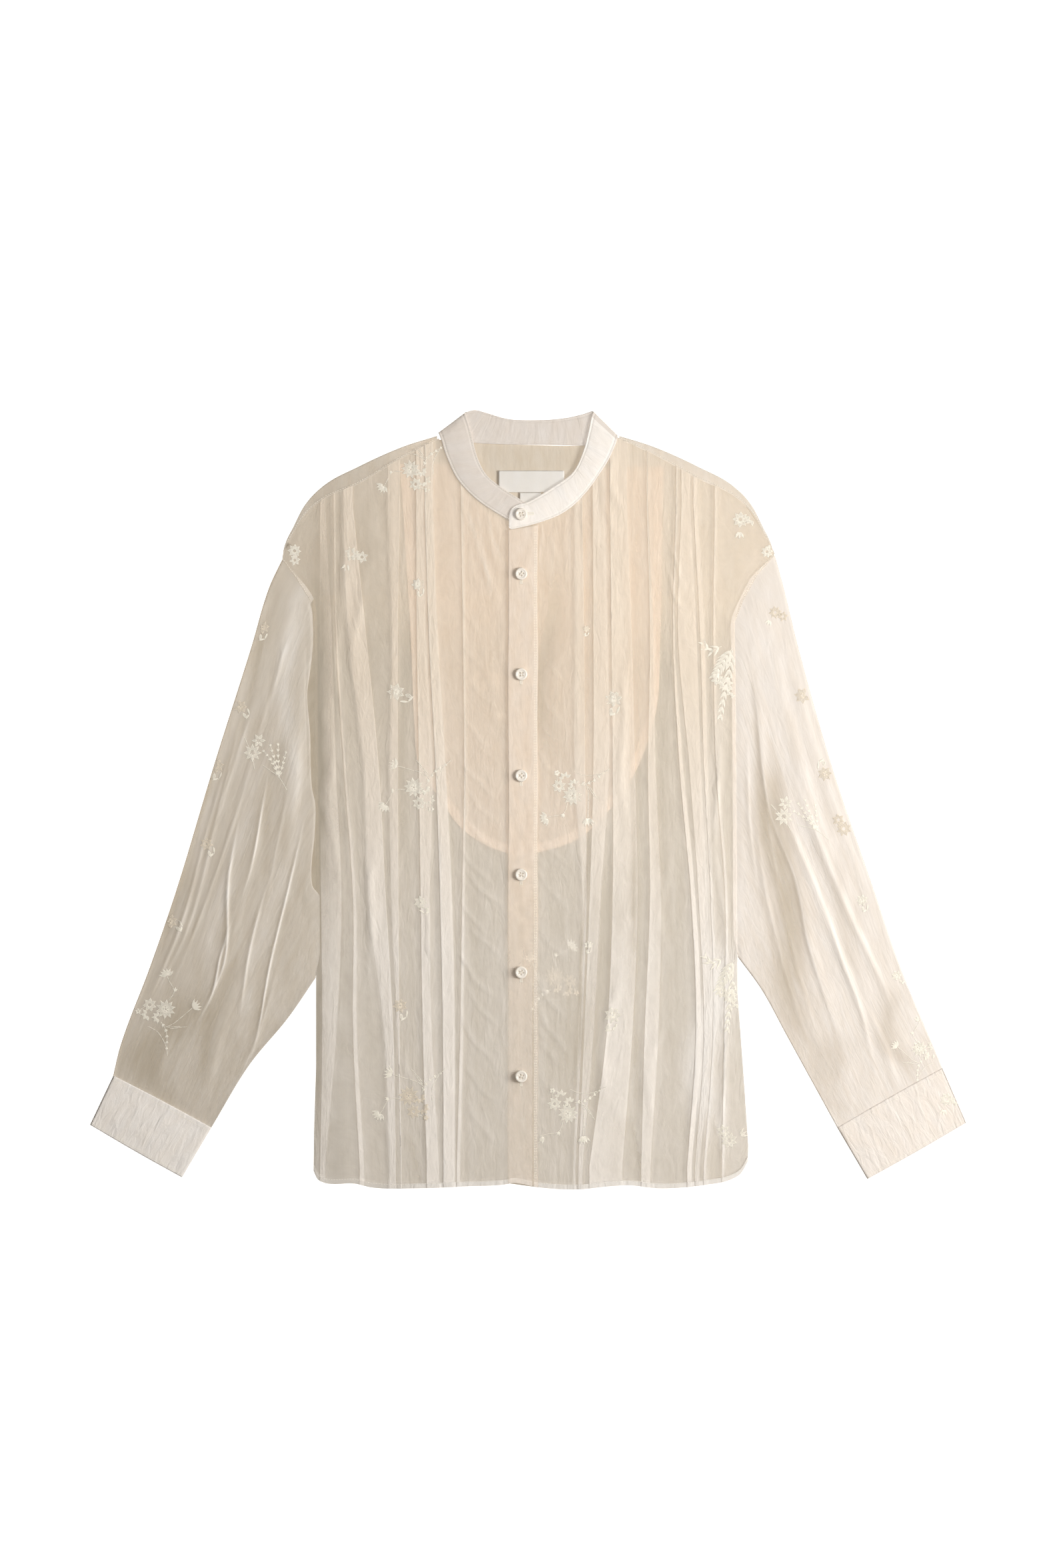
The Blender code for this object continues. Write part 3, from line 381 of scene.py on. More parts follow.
class ShirtColours(PropertyGroup):
    sheer: colour_setting("Sheer cloth", "Colour of the sheer cloth", 0.885, 0.815, 0.725)
    # The sleeves are lit and shaded copies of one cloth: painted light on the right one, painted shade on the
    # left
    sleeve: colour_setting("Sleeves", "Colour of the right sleeve and cuff", 0.905, 0.83, 0.75)
    dim_sleeve: colour_setting("Sleeve away from the light", "Colour of the left sleeve", 0.93, 0.87, 0.79)
    yoke: colour_setting("Yoke", "Colour of the yoke and of the back near it", 0.80, 0.70, 0.57)
    placket: colour_setting("Placket", "Colour of the placket", 0.89, 0.78, 0.66)
    label: colour_setting("Labels", "Colour of the woven labels", 0.88, 0.84, 0.78)
    # Painted shade: the inner layers are the fronts' own cloth, coloured darker for the shade between the
    # layers
    shade: colour_setting("Inner cloth", "Colour of the cloth seen through the fronts", 0.58, 0.50, 0.385)
    lining: colour_setting("Bib lining", "Colour of the lining behind the chest", 0.87, 0.725, 0.58)
    # Lit and shaded copies of the band cloth: painted light on the collar's right front and the left cuff,
    # painted shade on its left front and inside
    band: colour_setting("Bands", "Colour of the collar's right front and the left cuff", 0.985, 0.93, 0.865)
    dim_band: colour_setting(
        "Band away from the light", "Colour of the collar's left front and inside", 0.82, 0.75, 0.68)
    thread: colour_setting("Thread", "Colour of stitches and most of the embroidery", 1.0, 0.92, 0.80)
    # Painted shade on flower heads that lie under a layer of cloth; the button thread has this colour of its
    # own
    shaded_thread: colour_setting(
        "Shaded thread", "Colour of shaded flower heads and button thread", 0.84, 0.74, 0.60)
    button: colour_setting("Buttons", "Colour of the buttons", 0.96, 0.89, 0.80)


def through(points, at):
    """A smooth curve y(x) through table points: cubic Hermite pieces with the mean slope of their sides."""
    table = np.array(sorted(points), dtype=float)
    x, y = table[:, 0], table[:, 1]
    steps = np.diff(y) / np.diff(x)
    slopes = np.concatenate([[steps[0]], (steps[:-1] + steps[1:]) / 2, [steps[-1]]])
    at = np.clip(np.asarray(at, dtype=float), x[0], x[-1])
    piece = np.clip(np.searchsorted(x, at) - 1, 0, len(x) - 2)
    span = x[piece + 1] - x[piece]
    t = (at - x[piece]) / span
    start = (1 + 2 * t) * (1 - t) ** 2 * y[piece] + t * (1 - t) ** 2 * span * slopes[piece]
    finish = t * t * (3 - 2 * t) * y[piece + 1] + t * t * (t - 1) * span * slopes[piece + 1]
    return start + finish


def along(points, share):
    """Points at shares of the length of a smooth curve through the given points."""
    points = np.array(points, dtype=float)
    lengths = np.concatenate([[0.0], np.cumsum(np.linalg.norm(np.diff(points, axis=0), axis=1))])
    at = np.asarray(share, dtype=float) * lengths[-1]
    columns = [through(list(zip(lengths, points[:, k])), at) for k in range(points.shape[1])]
    return np.stack(columns, axis=-1)


def ease(value):
    """0 below 0, 1 above 1 and a smooth step between."""
    value = np.clip(value, 0.0, 1.0)
    return value * value * (3 - 2 * value)


def ridge_sum(ridges, x, y, narrow=1.0):
    """Sum of soft ridges: a bell across each ridge times a slow rise and fall along it."""
    total = np.zeros_like(x)
    for ridge in ridges:
        run = np.array([ridge.x1 - ridge.x0, ridge.y1 - ridge.y0], dtype=float)
        length = np.hypot(*run)
        run /= length
        s = ((x - ridge.x0) * run[0] + (y - ridge.y0) * run[1]) / length
        across = (x - ridge.x0) * -run[1] + (y - ridge.y0) * run[0]
        across = across + ridge.half_width * (1.2 * np.sin(s * 3.1) + 0.35 * np.sin(s * 9.0 + ridge.x0))
        bell = np.exp(-(across / (narrow * ridge.half_width)) ** 2)
        total += ridge.height * bell * ease(s / 0.3 + 0.5) * ease((1 - s) / 0.45)
    return total


def edge_sum(edges, x, y):
    """Painted shadow beside the edges of cloth laid below: full at each edge and fading away on one side of it.
    """
    total = np.zeros_like(x)
    for edge in edges:
        share = (y - edge.y0) / (edge.y1 - edge.y0)
        away = (x - edge.x0 - (edge.x1 - edge.x0) * share) / edge.reach
        inside = ease(share / 0.25) * ease((1 - share) / 0.05)
        total -= edge.depth * inside * ease(away / 0.12) * np.exp(-np.maximum(away, 0.0))
    return total


def crease_sum(creases, x, y):
    """Height and pressed lines of creases whose paths run down the cloth, steep on one flank only."""
    height, press = np.zeros_like(x), np.zeros_like(x)
    for crease in creases:
        path = np.array(crease.path)
        low, high = path[-1, 1], path[0, 1]
        centre = through([(py, px) for px, py in crease.path], y)
        lean = (path[-1, 0] - path[0, 0]) / (high - low)
        away = (x - centre) / math.hypot(1.0, lean)
        reach = abs(crease.half_width)
        steep = away * np.sign(crease.half_width) > 0
        bell = np.exp(-(away / np.where(steep, reach * 0.45, reach)) ** 2)
        run = 24.0 + 0.3 * (high - low)
        fade = ease((high + 10.0 - y) / run) * ease((y - low + 10.0) / run)
        height += crease.height * bell * fade
        press = np.maximum(press, crease.press * fade * np.exp(-(away / 0.9) ** 2))
    return height, press


def ripple(x, y, size, seed):
    """A smooth uneven surface between -1 and 1: sines in several directions whose phases bend each other."""
    total = np.zeros_like(x)
    for k in range(6):
        angle = seed * 1.7 + k * 2.39
        wave = size * (0.6 + 0.23 * k)
        phase = (x * math.cos(angle) + y * math.sin(angle)) / wave * 2 * math.pi
        total += np.sin(phase + 1.3 * np.sin((y * 0.7 - x * 0.3) / wave * 1.9 + seed + k))
    return total / 6


def link(context, name, mesh, slot, *finishes):
    """An object for a finished mesh, riding on the shirt's body."""
    for finish in finishes:
        mesh.materials.append(material(context, finish))
    mesh.shade_smooth()
    piece = bpy.data.objects.new(name, mesh)
    bpy.context.scene.collection.objects.link(piece)
    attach(piece, ROOT)
    return piece


def mesh_from(name, points, quads, uv=None, press=None):
    """A mesh from points in millimetres and quads, with an optional UV map and an attribute that shifts the
    cover: pressed folds, painted light and painted shade.
    """
    mesh = bpy.data.meshes.new(name)
    mesh.vertices.add(len(points))
    mesh.vertices.foreach_set("co", (points * MM).astype(np.float32).ravel())
    mesh.loops.add(quads.size)
    mesh.loops.foreach_set("vertex_index", quads.astype(np.int32).ravel())
    mesh.polygons.add(len(quads))
    mesh.polygons.foreach_set("loop_start", np.arange(0, quads.size, 4, dtype=np.int32))
    mesh.update(calc_edges=True)
    if uv is not None:
        layer = mesh.uv_layers.new(name="weave")
        layer.data.foreach_set("uv", uv[quads.ravel()].astype(np.float32).ravel())
    if press is not None:
        attribute = mesh.attributes.new("press", "FLOAT", "POINT")
        attribute.data.foreach_set("value", press.astype(np.float32).ravel())
    mesh.validate()
    return mesh


def grid_quads(rows, columns, closed=False):
    """Quads of a grid of rows by columns, joined into a ring of columns when closed."""
    i = np.arange(rows - 1)[:, None]
    count = columns if closed else columns - 1
    j = np.arange(count)[None, :]
    k = (j + 1) % columns
    return np.stack([i * columns + j, (i + 1) * columns + j, (i + 1) * columns + k, i * columns + k],
                    axis=-1).reshape(-1, 4)


def cloth_uv(grid):
    """UV of a grid in tenths of a metre: the length along its middle row, and the distance down it."""
    middle = grid[grid.shape[0] // 2]
    u = np.concatenate([[0.0], np.cumsum(np.linalg.norm(np.diff(middle, axis=0), axis=1))])
    down = np.linalg.norm(np.diff(grid.mean(axis=1), axis=0), axis=1)
    v = np.concatenate([[0.0], np.cumsum(down)])
    return np.dstack(np.meshgrid(u, v)).reshape(-1, 2) / UV_UNIT


def grid_mesh(name, grid, press=None, closed=False, flip=False):
    """A mesh of a grid of points whose UV map follows the cloth."""
    rows, columns = grid.shape[:2]
    quads = grid_quads(rows, columns, closed)
    if flip:
        quads = quads[:, ::-1]
    points = grid.reshape(-1, 3)
    return mesh_from(name, points, quads, cloth_uv(grid), None if press is None else press.reshape(-1))


def thicken(piece, thickness, offset=0.0):
    """A wall for a doubled cloth."""
    wall = piece.modifiers.new("wall", "SOLIDIFY")
    wall.thickness = thickness
    wall.offset = offset
    wall.use_even_offset = False
    wall.use_rim = True


class Relief:
    """The highest surface of a set of grids, kept as the top height over square cells and read bilinearly."""

    def __init__(self, grids, cell=1.5):
        points = np.concatenate([grid.reshape(-1, 3) for grid in grids])
        self.cell = cell
        self.low = points[:, :2].min(axis=0) - 2 * cell
        size = np.ceil((points[:, :2].max(axis=0) - self.low) / cell).astype(int) + 4
        self.top = np.full(tuple(size), -1.0)
        index = ((points[:, :2] - self.low) / cell).astype(int)
        np.maximum.at(self.top, (index[:, 0], index[:, 1]), points[:, 2])
        for _ in range(4):
            around = np.pad(self.top, 1, mode="edge")
            near = np.stack([around[1:-1, :-2], around[1:-1, 2:], around[:-2, 1:-1], around[2:, 1:-1]])
            self.top = np.where(self.top < 0, near.max(axis=0), self.top)
        self.filled = self.top > 0
        for _ in range(4):
            around = np.pad(self.filled, 1)
            self.filled = (self.filled & around[1:-1, :-2] & around[1:-1, 2:] & around[:-2, 1:-1]
                           & around[2:, 1:-1])
        self.top = np.maximum(self.top, 0.0)

    def covers(self, x, y):
        """Whether the surface lies under a place."""
        i = np.clip(((x - self.low[0]) / self.cell).astype(int), 0, self.top.shape[0] - 1)
        j = np.clip(((y - self.low[1]) / self.cell).astype(int), 0, self.top.shape[1] - 1)
        return self.filled[i, j]

    def height(self, x, y):
        u = np.clip((x - self.low[0]) / self.cell - 0.5, 0, self.top.shape[0] - 2.001)
        v = np.clip((y - self.low[1]) / self.cell - 0.5, 0, self.top.shape[1] - 2.001)
        i, j = u.astype(int), v.astype(int)
        fu, fv = u - i, v - j
        top = self.top
        lower = top[i, j] * (1 - fu) + top[i + 1, j] * fu
        upper = top[i, j + 1] * (1 - fu) + top[i + 1, j + 1] * fu
        return np.maximum(lower * (1 - fv) + upper * fv, 0.4)


SURFACES = {}


def node_of(tree, kind, place, **values):
    """A shader node with its plain settings."""
    node = tree.nodes.new(kind)
    node.location = place
    for key, value in values.items():
        setattr(node, key, value)
    return node


def put(node, values):
    """Constants on a node's sockets."""
    for name, value in values.items():
        node.inputs[name].default_value = value


def join(source, out, target, into):
    """A link from one node's output to another's input."""
    source.id_data.links.new(source.outputs[out], target.inputs[into])


def plain_material(name):
    """A new material and its shader."""
    made = bpy.data.materials.new(name)
    made.use_nodes = True
    return made, made.node_tree.nodes["Principled BSDF"]


def faint_shadow(tree, share, x, y):
    """A node whose value is 1 for the eye and less by a share for the rays that cast shadows."""
    light = node_of(tree, "ShaderNodeLightPath", (x - 200, y + 100))
    faint = node_of(tree, "ShaderNodeMath", (x, y), operation="MULTIPLY_ADD")
    put(faint, {1: -share, 2: 1.0})
    join(light, "Is Shadow Ray", faint, 0)
    return faint


def mottled(noise, colour, low):
    """A mix node whose colour wavers with noise, from a share of the colour to a little above it."""
    tone = node_of(noise.id_data, "ShaderNodeMix", (-500, 200), data_type="RGBA")
    put(tone, {"A": tuple(low * c for c in colour[:3]) + (1.0,),
               "B": tuple(min(1.0, 1.05 * c) for c in colour[:3]) + (1.0,)})
    join(noise, "Fac", tone, "Factor")
    return tone


def streak_noise(tree, place, across, along_way, spot, detail=2.0):
    """Noise drawn out along the cloth: its grain is so many per 10 cm across and along."""
    stretch = node_of(tree, "ShaderNodeMapping", (-1300, spot))
    stretch.inputs["Scale"].default_value = (across, along_way, 1.0)
    noise = node_of(tree, "ShaderNodeTexNoise", (-1100, spot))
    put(noise, {"Scale": 1.0, "Detail": detail, "Distortion": 0.4})
    join(place, "UV", stretch, "Vector")
    join(stretch, "Vector", noise, "Vector")
    return noise


def bump_of(tree, height, strength, depth, spot, below=None):
    """A bump node on top of another."""
    bump = node_of(tree, "ShaderNodeBump", (-500, spot))
    put(bump, {"Strength": strength, "Distance": depth})
    tree.links.new(height, bump.inputs["Height"])
    if below:
        join(below, "Normal", bump, "Normal")
    return bump


def cloth_bump(tree, place, streaks, weave, streak, crinkle):
    """Bump of a cloth: long fine creases, small crinkles that run aslant, and crossing threads."""
    grain = bump_of(tree, streaks.outputs["Fac"], streak, 0.0010, -1000)
    slant = node_of(tree, "ShaderNodeMapping", (-1300, -900))
    put(slant, {"Rotation": (0.0, 0.0, math.radians(38.0)), "Scale": (16.0, 5.0, 1.0)})
    noise = node_of(tree, "ShaderNodeTexNoise", (-1100, -900))
    put(noise, {"Scale": 1.0, "Detail": 4.0, "Distortion": 0.9})
    join(place, "UV", slant, "Vector")
    join(slant, "Vector", noise, "Vector")
    soft = bump_of(tree, noise.outputs["Fac"], crinkle, 0.0012, -700, grain)
    threads = []
    for direction, spot in (("X", -200), ("Y", -500)):
        wave = node_of(tree, "ShaderNodeTexWave", (-1100, spot), bands_direction=direction)
        put(wave, {"Scale": 62.0, "Distortion": 1.2})
        join(place, "UV", wave, "Vector")
        threads.append(wave)
    crossing = node_of(tree, "ShaderNodeMath", (-900, -300), operation="MAXIMUM")
    join(threads[0], "Fac", crossing, 0)
    join(threads[1], "Fac", crossing, 1)
    return bump_of(tree, crossing.outputs["Value"], weave, 0.00012, -300, soft)


def cloth_material(name, colour, cover, streak, crinkle, weave=0.25, uneven=0.0, fade=None, low=None):
    """Woven cloth.  Cover is the share of light its threads stop: it is uneven, higher at pressed folds and
    where light is painted, lower where shade is painted.

    A cloth that fades does so between two heights, from its colour to the low one or to a tone of its own.
    """
    made, shader = plain_material(name)
    tree = made.node_tree
    put(shader, {"Roughness": 0.8, "Sheen Weight": 0.2, "Sheen Roughness": 0.45, "Specular IOR Level": 0.2})
    place = node_of(tree, "ShaderNodeUVMap", (-1600, 0), uv_map="weave")
    fine = streak_noise(tree, place, 16.0, 0.6, 300, 4.0)
    broad = streak_noise(tree, place, 9.0, 3.5, 600, 5.0)
    bump = cloth_bump(tree, place, fine, weave, streak, crinkle)
    join(bump, "Normal", shader, "Normal")
    tone = node_of(tree, "ShaderNodeMix", (-500, 400), data_type="RGBA")
    deep = 1.0 if low else 1.25
    tone.inputs["A"].default_value = tuple(c ** deep for c in colour[:3]) + (1.0,)
    pale = zip((low or colour)[:3], (0.98, 1.0, 1.04))
    tone.inputs["B"].default_value = tuple(c ** 0.85 * d for c, d in pale) + (1.0,)
    if fade:
        spot = node_of(tree, "ShaderNodeTexCoord", (-1300, 1300))
        split = node_of(tree, "ShaderNodeSeparateXYZ", (-1100, 1300))
        down = node_of(tree, "ShaderNodeMapRange", (-900, 1300))
        put(down, {"From Min": fade[0], "From Max": fade[1]})
        join(spot, "Object", split, "Vector")
        join(split, "Y", down, "Value")
        join(down, "Result", tone, "Factor")
    else:
        join(broad, "Fac", tone, "Factor")
    join(tone, "Result", shader, "Base Color")
    if cover < 1.0:
        press = node_of(tree, "ShaderNodeAttribute", (-1100, 1100), attribute_name="press")
        both = node_of(tree, "ShaderNodeMath", (-900, 500), operation="ADD")
        join(fine, "Fac", both, 0)
        join(broad, "Fac", both, 1)
        spread = node_of(tree, "ShaderNodeMapRange", (-700, 600))
        put(spread, {"From Min": 0.7, "From Max": 1.3, "To Min": cover - uneven, "To Max": cover + uneven})
        join(both, "Value", spread, "Value")
        more = node_of(tree, "ShaderNodeMath", (-500, 700), operation="MULTIPLY_ADD", use_clamp=True)
        more.inputs[1].default_value = 0.45
        join(press, "Fac", more, 0)
        join(spread, "Result", more, 2)
        faint = faint_shadow(tree, 0.65, -500, 900)
        stop = node_of(tree, "ShaderNodeMath", (-300, 800), operation="MULTIPLY")
        join(more, "Value", stop, 0)
        join(faint, "Value", stop, 1)
        join(stop, "Value", shader, "Alpha")
    return made


def thread_material(name, colour):
    """Twisted thread with a soft sheen: fine bands and an uneven tone, lit nearly flat, its shadow faint."""
    made, shader = plain_material(name)
    tree = made.node_tree
    put(shader, {"Roughness": 0.5, "Sheen Weight": 0.3})
    place = node_of(tree, "ShaderNodeTexCoord", (-1100, 0))
    bands = node_of(tree, "ShaderNodeTexWave", (-800, -100))
    put(bands, {"Scale": 900.0, "Distortion": 2.0})
    join(place, "Object", bands, "Vector")
    uneven = node_of(tree, "ShaderNodeTexNoise", (-800, 300))
    uneven.inputs["Scale"].default_value = 400.0
    join(place, "Object", uneven, "Vector")
    join(mottled(uneven, colour, 0.95), "Result", shader, "Base Color")
    bump = node_of(tree, "ShaderNodeBump", (-400, -200))
    put(bump, {"Strength": 0.2, "Distance": 0.0001})
    join(bands, "Fac", bump, "Height")
    flat = node_of(tree, "ShaderNodeVectorMath", (-200, -200), operation="ADD")
    flat.inputs[1].default_value = (0.3, 0.0, 2.4)
    level = node_of(tree, "ShaderNodeVectorMath", (-100, -300), operation="NORMALIZE")
    join(bump, "Normal", flat, 0)
    join(flat, "Vector", level, 0)
    join(level, "Vector", shader, "Normal")
    faint = faint_shadow(tree, 0.92, -300, 500)
    join(faint, "Value", shader, "Alpha")
    return made


def material(context, name):
    """The named finish, made once."""
    found = bpy.data.materials.get(name)
    if found:
        return found
    colours = context.scene.shirt_colours
    cloths = {
        "sheer_front": (colours.sheer, 0.45, dict(streak=0.08, crinkle=0.85, uneven=0.07,
                                                  fade=(0.12, -0.15))),
        # The left sleeve's thin cover over its dark under layer is painted shade away from the light; the right
        # sleeve is denser
        "sheer_sleeve_left": (colours.dim_sleeve, 0.42, dict(streak=0.08, crinkle=0.5, uneven=0.05)),
        "sheer_sleeve_right": (colours.sleeve, 0.60, dict(streak=0.08, crinkle=0.35, uneven=0.04)),
        # The back fades from the yoke's colour into the inner cloth's painted shade; the sleeves' under layers
        # take that painted shade too
        "sheer_back": (colours.yoke, 0.86, dict(streak=0.2, crinkle=0.3, uneven=0.04, fade=(0.197, 0.13),
                                         low=colours.shade)),
        "sleeve_under_left": (colours.shade, 0.85, dict(streak=0.2, crinkle=0.3, uneven=0.05)),
        "sleeve_under_right": (colours.shade, 0.85, dict(streak=0.2, crinkle=0.3, uneven=0.05)),
        "yoke_cloth": (colours.yoke, 0.86, dict(streak=0.2, crinkle=0.3, uneven=0.04)),
        "yoke_front": (colours.sheer, 0.62, dict(streak=0.1, crinkle=0.4, uneven=0.04)),
        "bib_lining": (colours.lining, 0.62, dict(streak=0.1, crinkle=0.2, uneven=0.03)),
        "band_weave": (colours.band, 0.93, dict(streak=0.06, crinkle=0.5, uneven=0.03, weave=0.35)),
        # The cuffs are one cloth set against the light's falloff: painted light on the left cuff, painted shade
        # on the right one
        "cuff_left_weave": (colours.band, 0.93, dict(streak=0.15, crinkle=0.9, uneven=0.04, weave=0.35)),
        "cuff_right_weave": (colours.sleeve, 0.95, dict(streak=0.15, crinkle=0.9, uneven=0.04, weave=0.35)),
        "band_shaded": (colours.dim_band, 0.93, dict(streak=0.06, crinkle=0.5, uneven=0.03, weave=0.35)),
        "placket_cloth": (colours.placket, 0.72, dict(streak=0.1, crinkle=0.6, uneven=0.05, weave=0.35)),
        "label_tape": (colours.label, 1.0, dict(streak=0.0, crinkle=0.1, weave=0.5)),
    }
    if name in cloths:
        colour, cover, looks = cloths[name]
        return cloth_material(name, colour, cover, **looks)
    if name == "button_gloss":
        return button_material(name, colours.button)
    return thread_material(name, getattr(colours, name))


def button_material(name, colour):
    """Polished ivory: a clear coat over faint cloudy bands."""
    made, shader = plain_material(name)
    tree = made.node_tree
    put(shader, {"Roughness": 0.32, "Coat Weight": 0.4, "Coat Roughness": 0.15})
    place = node_of(tree, "ShaderNodeTexCoord", (-1000, 0))
    cloud = node_of(tree, "ShaderNodeTexNoise", (-800, 0))
    put(cloud, {"Scale": 220.0, "Detail": 3.0, "Distortion": 1.5})
    bump = node_of(tree, "ShaderNodeBump", (-400, -200))
    put(bump, {"Strength": 0.08, "Distance": 0.0003})
    join(place, "Object", cloud, "Vector")
    join(cloud, "Fac", bump, "Height")
    join(mottled(cloud, colour, 0.9), "Result", shader, "Base Color")
    join(bump, "Normal", shader, "Normal")
    return made


def shoulder_height(x):
    """Height of the shoulder outline at x."""
    return through([(row.half_width, row.height) for row in SHOULDER], np.abs(x))


def shoulder_seam(x, side):
    """Height of the seam between the yoke's front strip and a front."""
    strip = through([(row.half_width, row.strip) for row in SHOULDER], np.abs(x)) * STRIP_SHARE[side]
    return shoulder_height(x) - strip


def hem_height(x):
    return through(HEM, x)


def side_line(y, side):
    return through(SIDE[side], y)


def front_top(x, side):
    """Top edge of a front: the shoulder seam, then the neckline."""
    neck = through(NECKLINE[side], x)
    seam = shoulder_seam(np.clip(x, -238.0, 238.0), side)
    return np.where(np.abs(x) > SHOULDER[0].half_width, seam, neck)


def outline_x(y, side):
    """Outer edge of a front at height y: the shoulder outline, the armhole seam, then the side fold."""
    out = OUTWARD[side]
    shoulder = [(row.height, out * row.half_width) for row in SHOULDER[:-1]]
    seam = [(py, px) for px, py in ARMHOLE[side]]
    low = [(py, px) for py, px in SIDE[side][1:]]
    return np.interp(y, *np.array(sorted(shoulder + seam + low)).T)


# A place across a front: its x at heights y, its rise, its press and the glow at the top and at the hem
Station = namedtuple("Station", "curve rise press glow")
PLAIN = (0.0, 0.0)
TOP_ROW = 358.0
LOW_ROW = -372.0
TOP_EDGE_LOWEST = 150.0
TOP_EDGE_HIGHEST = 356.0


def pleat_line(pleat, share, aside):
    """X at heights y of a place a share of the way from a pleat's fold line to its far fold, moved aside."""
    places = np.array(pleat.line) + pleat.turn * (share * np.array(pleat.under) + aside)
    table = list(zip(PLEAT_ROWS, places))
    return lambda y: through(table, y)


def pleat_stations(side, gap):
    """Places that the cloth of a front passes on its way across, from its side fold to its middle edge.

    A pleat is an S: the cloth runs to the far fold, turns back on itself through a half circle, runs to the
    fold line, turns again and runs on above both layers.
    """
    radius = gap / 2
    angles = np.radians([-90.0, -45.0, 0.0, 45.0, 90.0])
    stations = []
    for pleat in PLEATS[side]:
        settle = 1.2 + 2.4 * (1 - pleat.crease)
        edge = 0.1 + 1.1 * pleat.crease ** 1.5
        passed = [(1.0, -1.2, 0.0, 0.0, PLAIN)]
        passed += [(1.0, radius * (math.cos(a) - 1), radius * (1 + math.sin(a)), 0.3 * pleat.crease * edge,
                    pleat.glow) for a in angles]
        passed += [(0.0, radius * (1 - math.cos(a)), gap + radius * (1 + math.sin(a)), edge, pleat.glow)
                   for a in angles]
        passed += [(0.0, 0.9, 2 * gap, 0.35 * edge, pleat.glow), (0.2, 0.6, 2 * gap, 0.0, pleat.glow),
                   (1.0, 0.2, 2 * gap, 0.0, pleat.glow), (1.0, settle, gap, 0.0, PLAIN)]
        own = [Station(pleat_line(pleat, share, aside), *rest) for share, aside, *rest in passed]
        stations += own if pleat.turn > 0 else own[::-1]
    return stations


def front_grid(side, gap, hem):
    """Points and changes of cover of a front: columns follow the pleats, rows run from top edge to hem."""
    out = OUTWARD[side]
    middle = UNDERLAP_EDGE if side == "left" else PLACKET_EDGES[1] - 4.0
    turned_in = ((1.0, -2.1, 0.0), (0.25, -1.7, 0.1), (0.0, -0.9, 0.2), (0.3, -0.25, 0.15), (1.1, 0.0, 0.0))
    outer = [Station(lambda y, inset=inset: outline_x(y, side) - out * inset, rise, press, PLAIN)
             for inset, rise, press in turned_in]
    inner = [Station(lambda y: np.full_like(y, middle), 0.0, 0.0, PLAIN)]
    pleats = pleat_stations(side, gap)
    stations = outer + pleats + inner if side == "left" else inner + pleats + outer[::-1]

    probe = np.array(PLEAT_ROWS)
    columns = []
    for k in range(len(stations) - 1):
        reach = np.abs(stations[k + 1].curve(probe) - stations[k].curve(probe)).mean()
        steps = max(1, int(round(reach / FRONT_STEP)))
        columns += [(k, f) for f in np.arange(steps) / steps]
    columns.append((len(stations) - 2, 1.0))
    index = np.array([k for k, _ in columns])
    share = np.array([f for _, f in columns])[:, None]

    def across(y):
        """X of every column at its own heights y, an array of columns by rows."""
        here = np.empty_like(y)
        for k in range(len(stations) - 1):
            mine = index == k
            if mine.any():
                start, stop = stations[k].curve(y[mine]), stations[k + 1].curve(y[mine])
                here[mine] = start + (stop - start) * share[mine]
        return here

    def mixed(values):
        """Values of the stations carried to every column."""
        values = np.array(values)[:, None]
        return values[index] * (1 - share) + values[index + 1] * share

    low = np.full((len(columns), 1), TOP_EDGE_LOWEST)
    high = np.full((len(columns), 1), TOP_EDGE_HIGHEST)
    for _ in range(40):
        y = (low + high) / 2
        inside = front_top(across(y), side) > y
        low, high = np.where(inside, y, low), np.where(inside, high, y)
    top = low
    bottom = np.full_like(top, -360.0)
    for _ in range(8):
        bottom = hem_height(across(bottom))
    rows = np.linspace(0.0, 1.0, FRONT_ROWS)[None, :]
    level = TOP_ROW + (LOW_ROW - TOP_ROW) * rows + (bottom + hem - LOW_ROW) * ease((rows - 0.6) / 0.4)
    body = np.minimum(level, top)
    doubled = bottom + hem * np.array([[0.97, 0.9, 0.6, 0.3, 0.08, 0.0]])
    y = np.concatenate([body, doubled], axis=1)
    x = across(y)
    lift = mixed([station.rise for station in stations])
    z = FRONT_LEVEL + lift * np.where(lift < 0, ease((ARMHOLE[side][-1][1] + 8 - y) / 20.0), 1.0)
    free = ease((top - y) / 8.0) * 0.85 + 0.15
    wrinkles = ridge_sum(WRINKLES[side], x, y, 0.6)
    soft = 0.6 * ridge_sum(GATHERS[side], x, y) + 1.5 * wrinkles
    if side == "right":
        soft = soft + ridge_sum(PUCKERS, x, y)
    z = z + free * (soft + 0.25 * ripple(x, y * 0.55, 26.0, 2.0)) + 0.12 * ripple(x, y * 0.7, 11.0, 5.0)
    down = (SHOULDER[0].height - y) / (SHOULDER[0].height - bottom)
    crease = mixed([station.press for station in stations])
    high = mixed([station.glow[0] for station in stations])
    low = mixed([station.glow[1] for station in stations])
    wander = 0.85 + 0.3 * ripple(x * 0.5, y * 0.4, 30.0, 4.0)
    press = (crease + high + (low - high) * down) * wander
    # The tones paint light and shade, the edges painted shadows, and the wrinkles a painted highlight along
    # their ridges
    press += ridge_sum(TONES[side], x, y) + edge_sum(EDGES[side], x, y) + 0.3 * np.minimum(wrinkles, 1.0)
    press += 0.08 * ripple(x * 1.7, y * 0.15, 60.0, 1.0) + 0.14 * ripple(x, y * 0.6, 20.0, 6.0)
    in_hem = np.arange(y.shape[1])[None, :] >= FRONT_ROWS
    # The turned hem is denser, less so towards its left end as painted shade away from the light
    bright = 0.5 + 0.6 * ease((x + 130.0) / 30.0)
    press = np.where(in_hem, np.maximum(press, bright), press)
    z = z + 0.3 * in_hem
    grid = np.stack([x, y, z], axis=-1).transpose(1, 0, 2)
    return grid, press.T.copy()


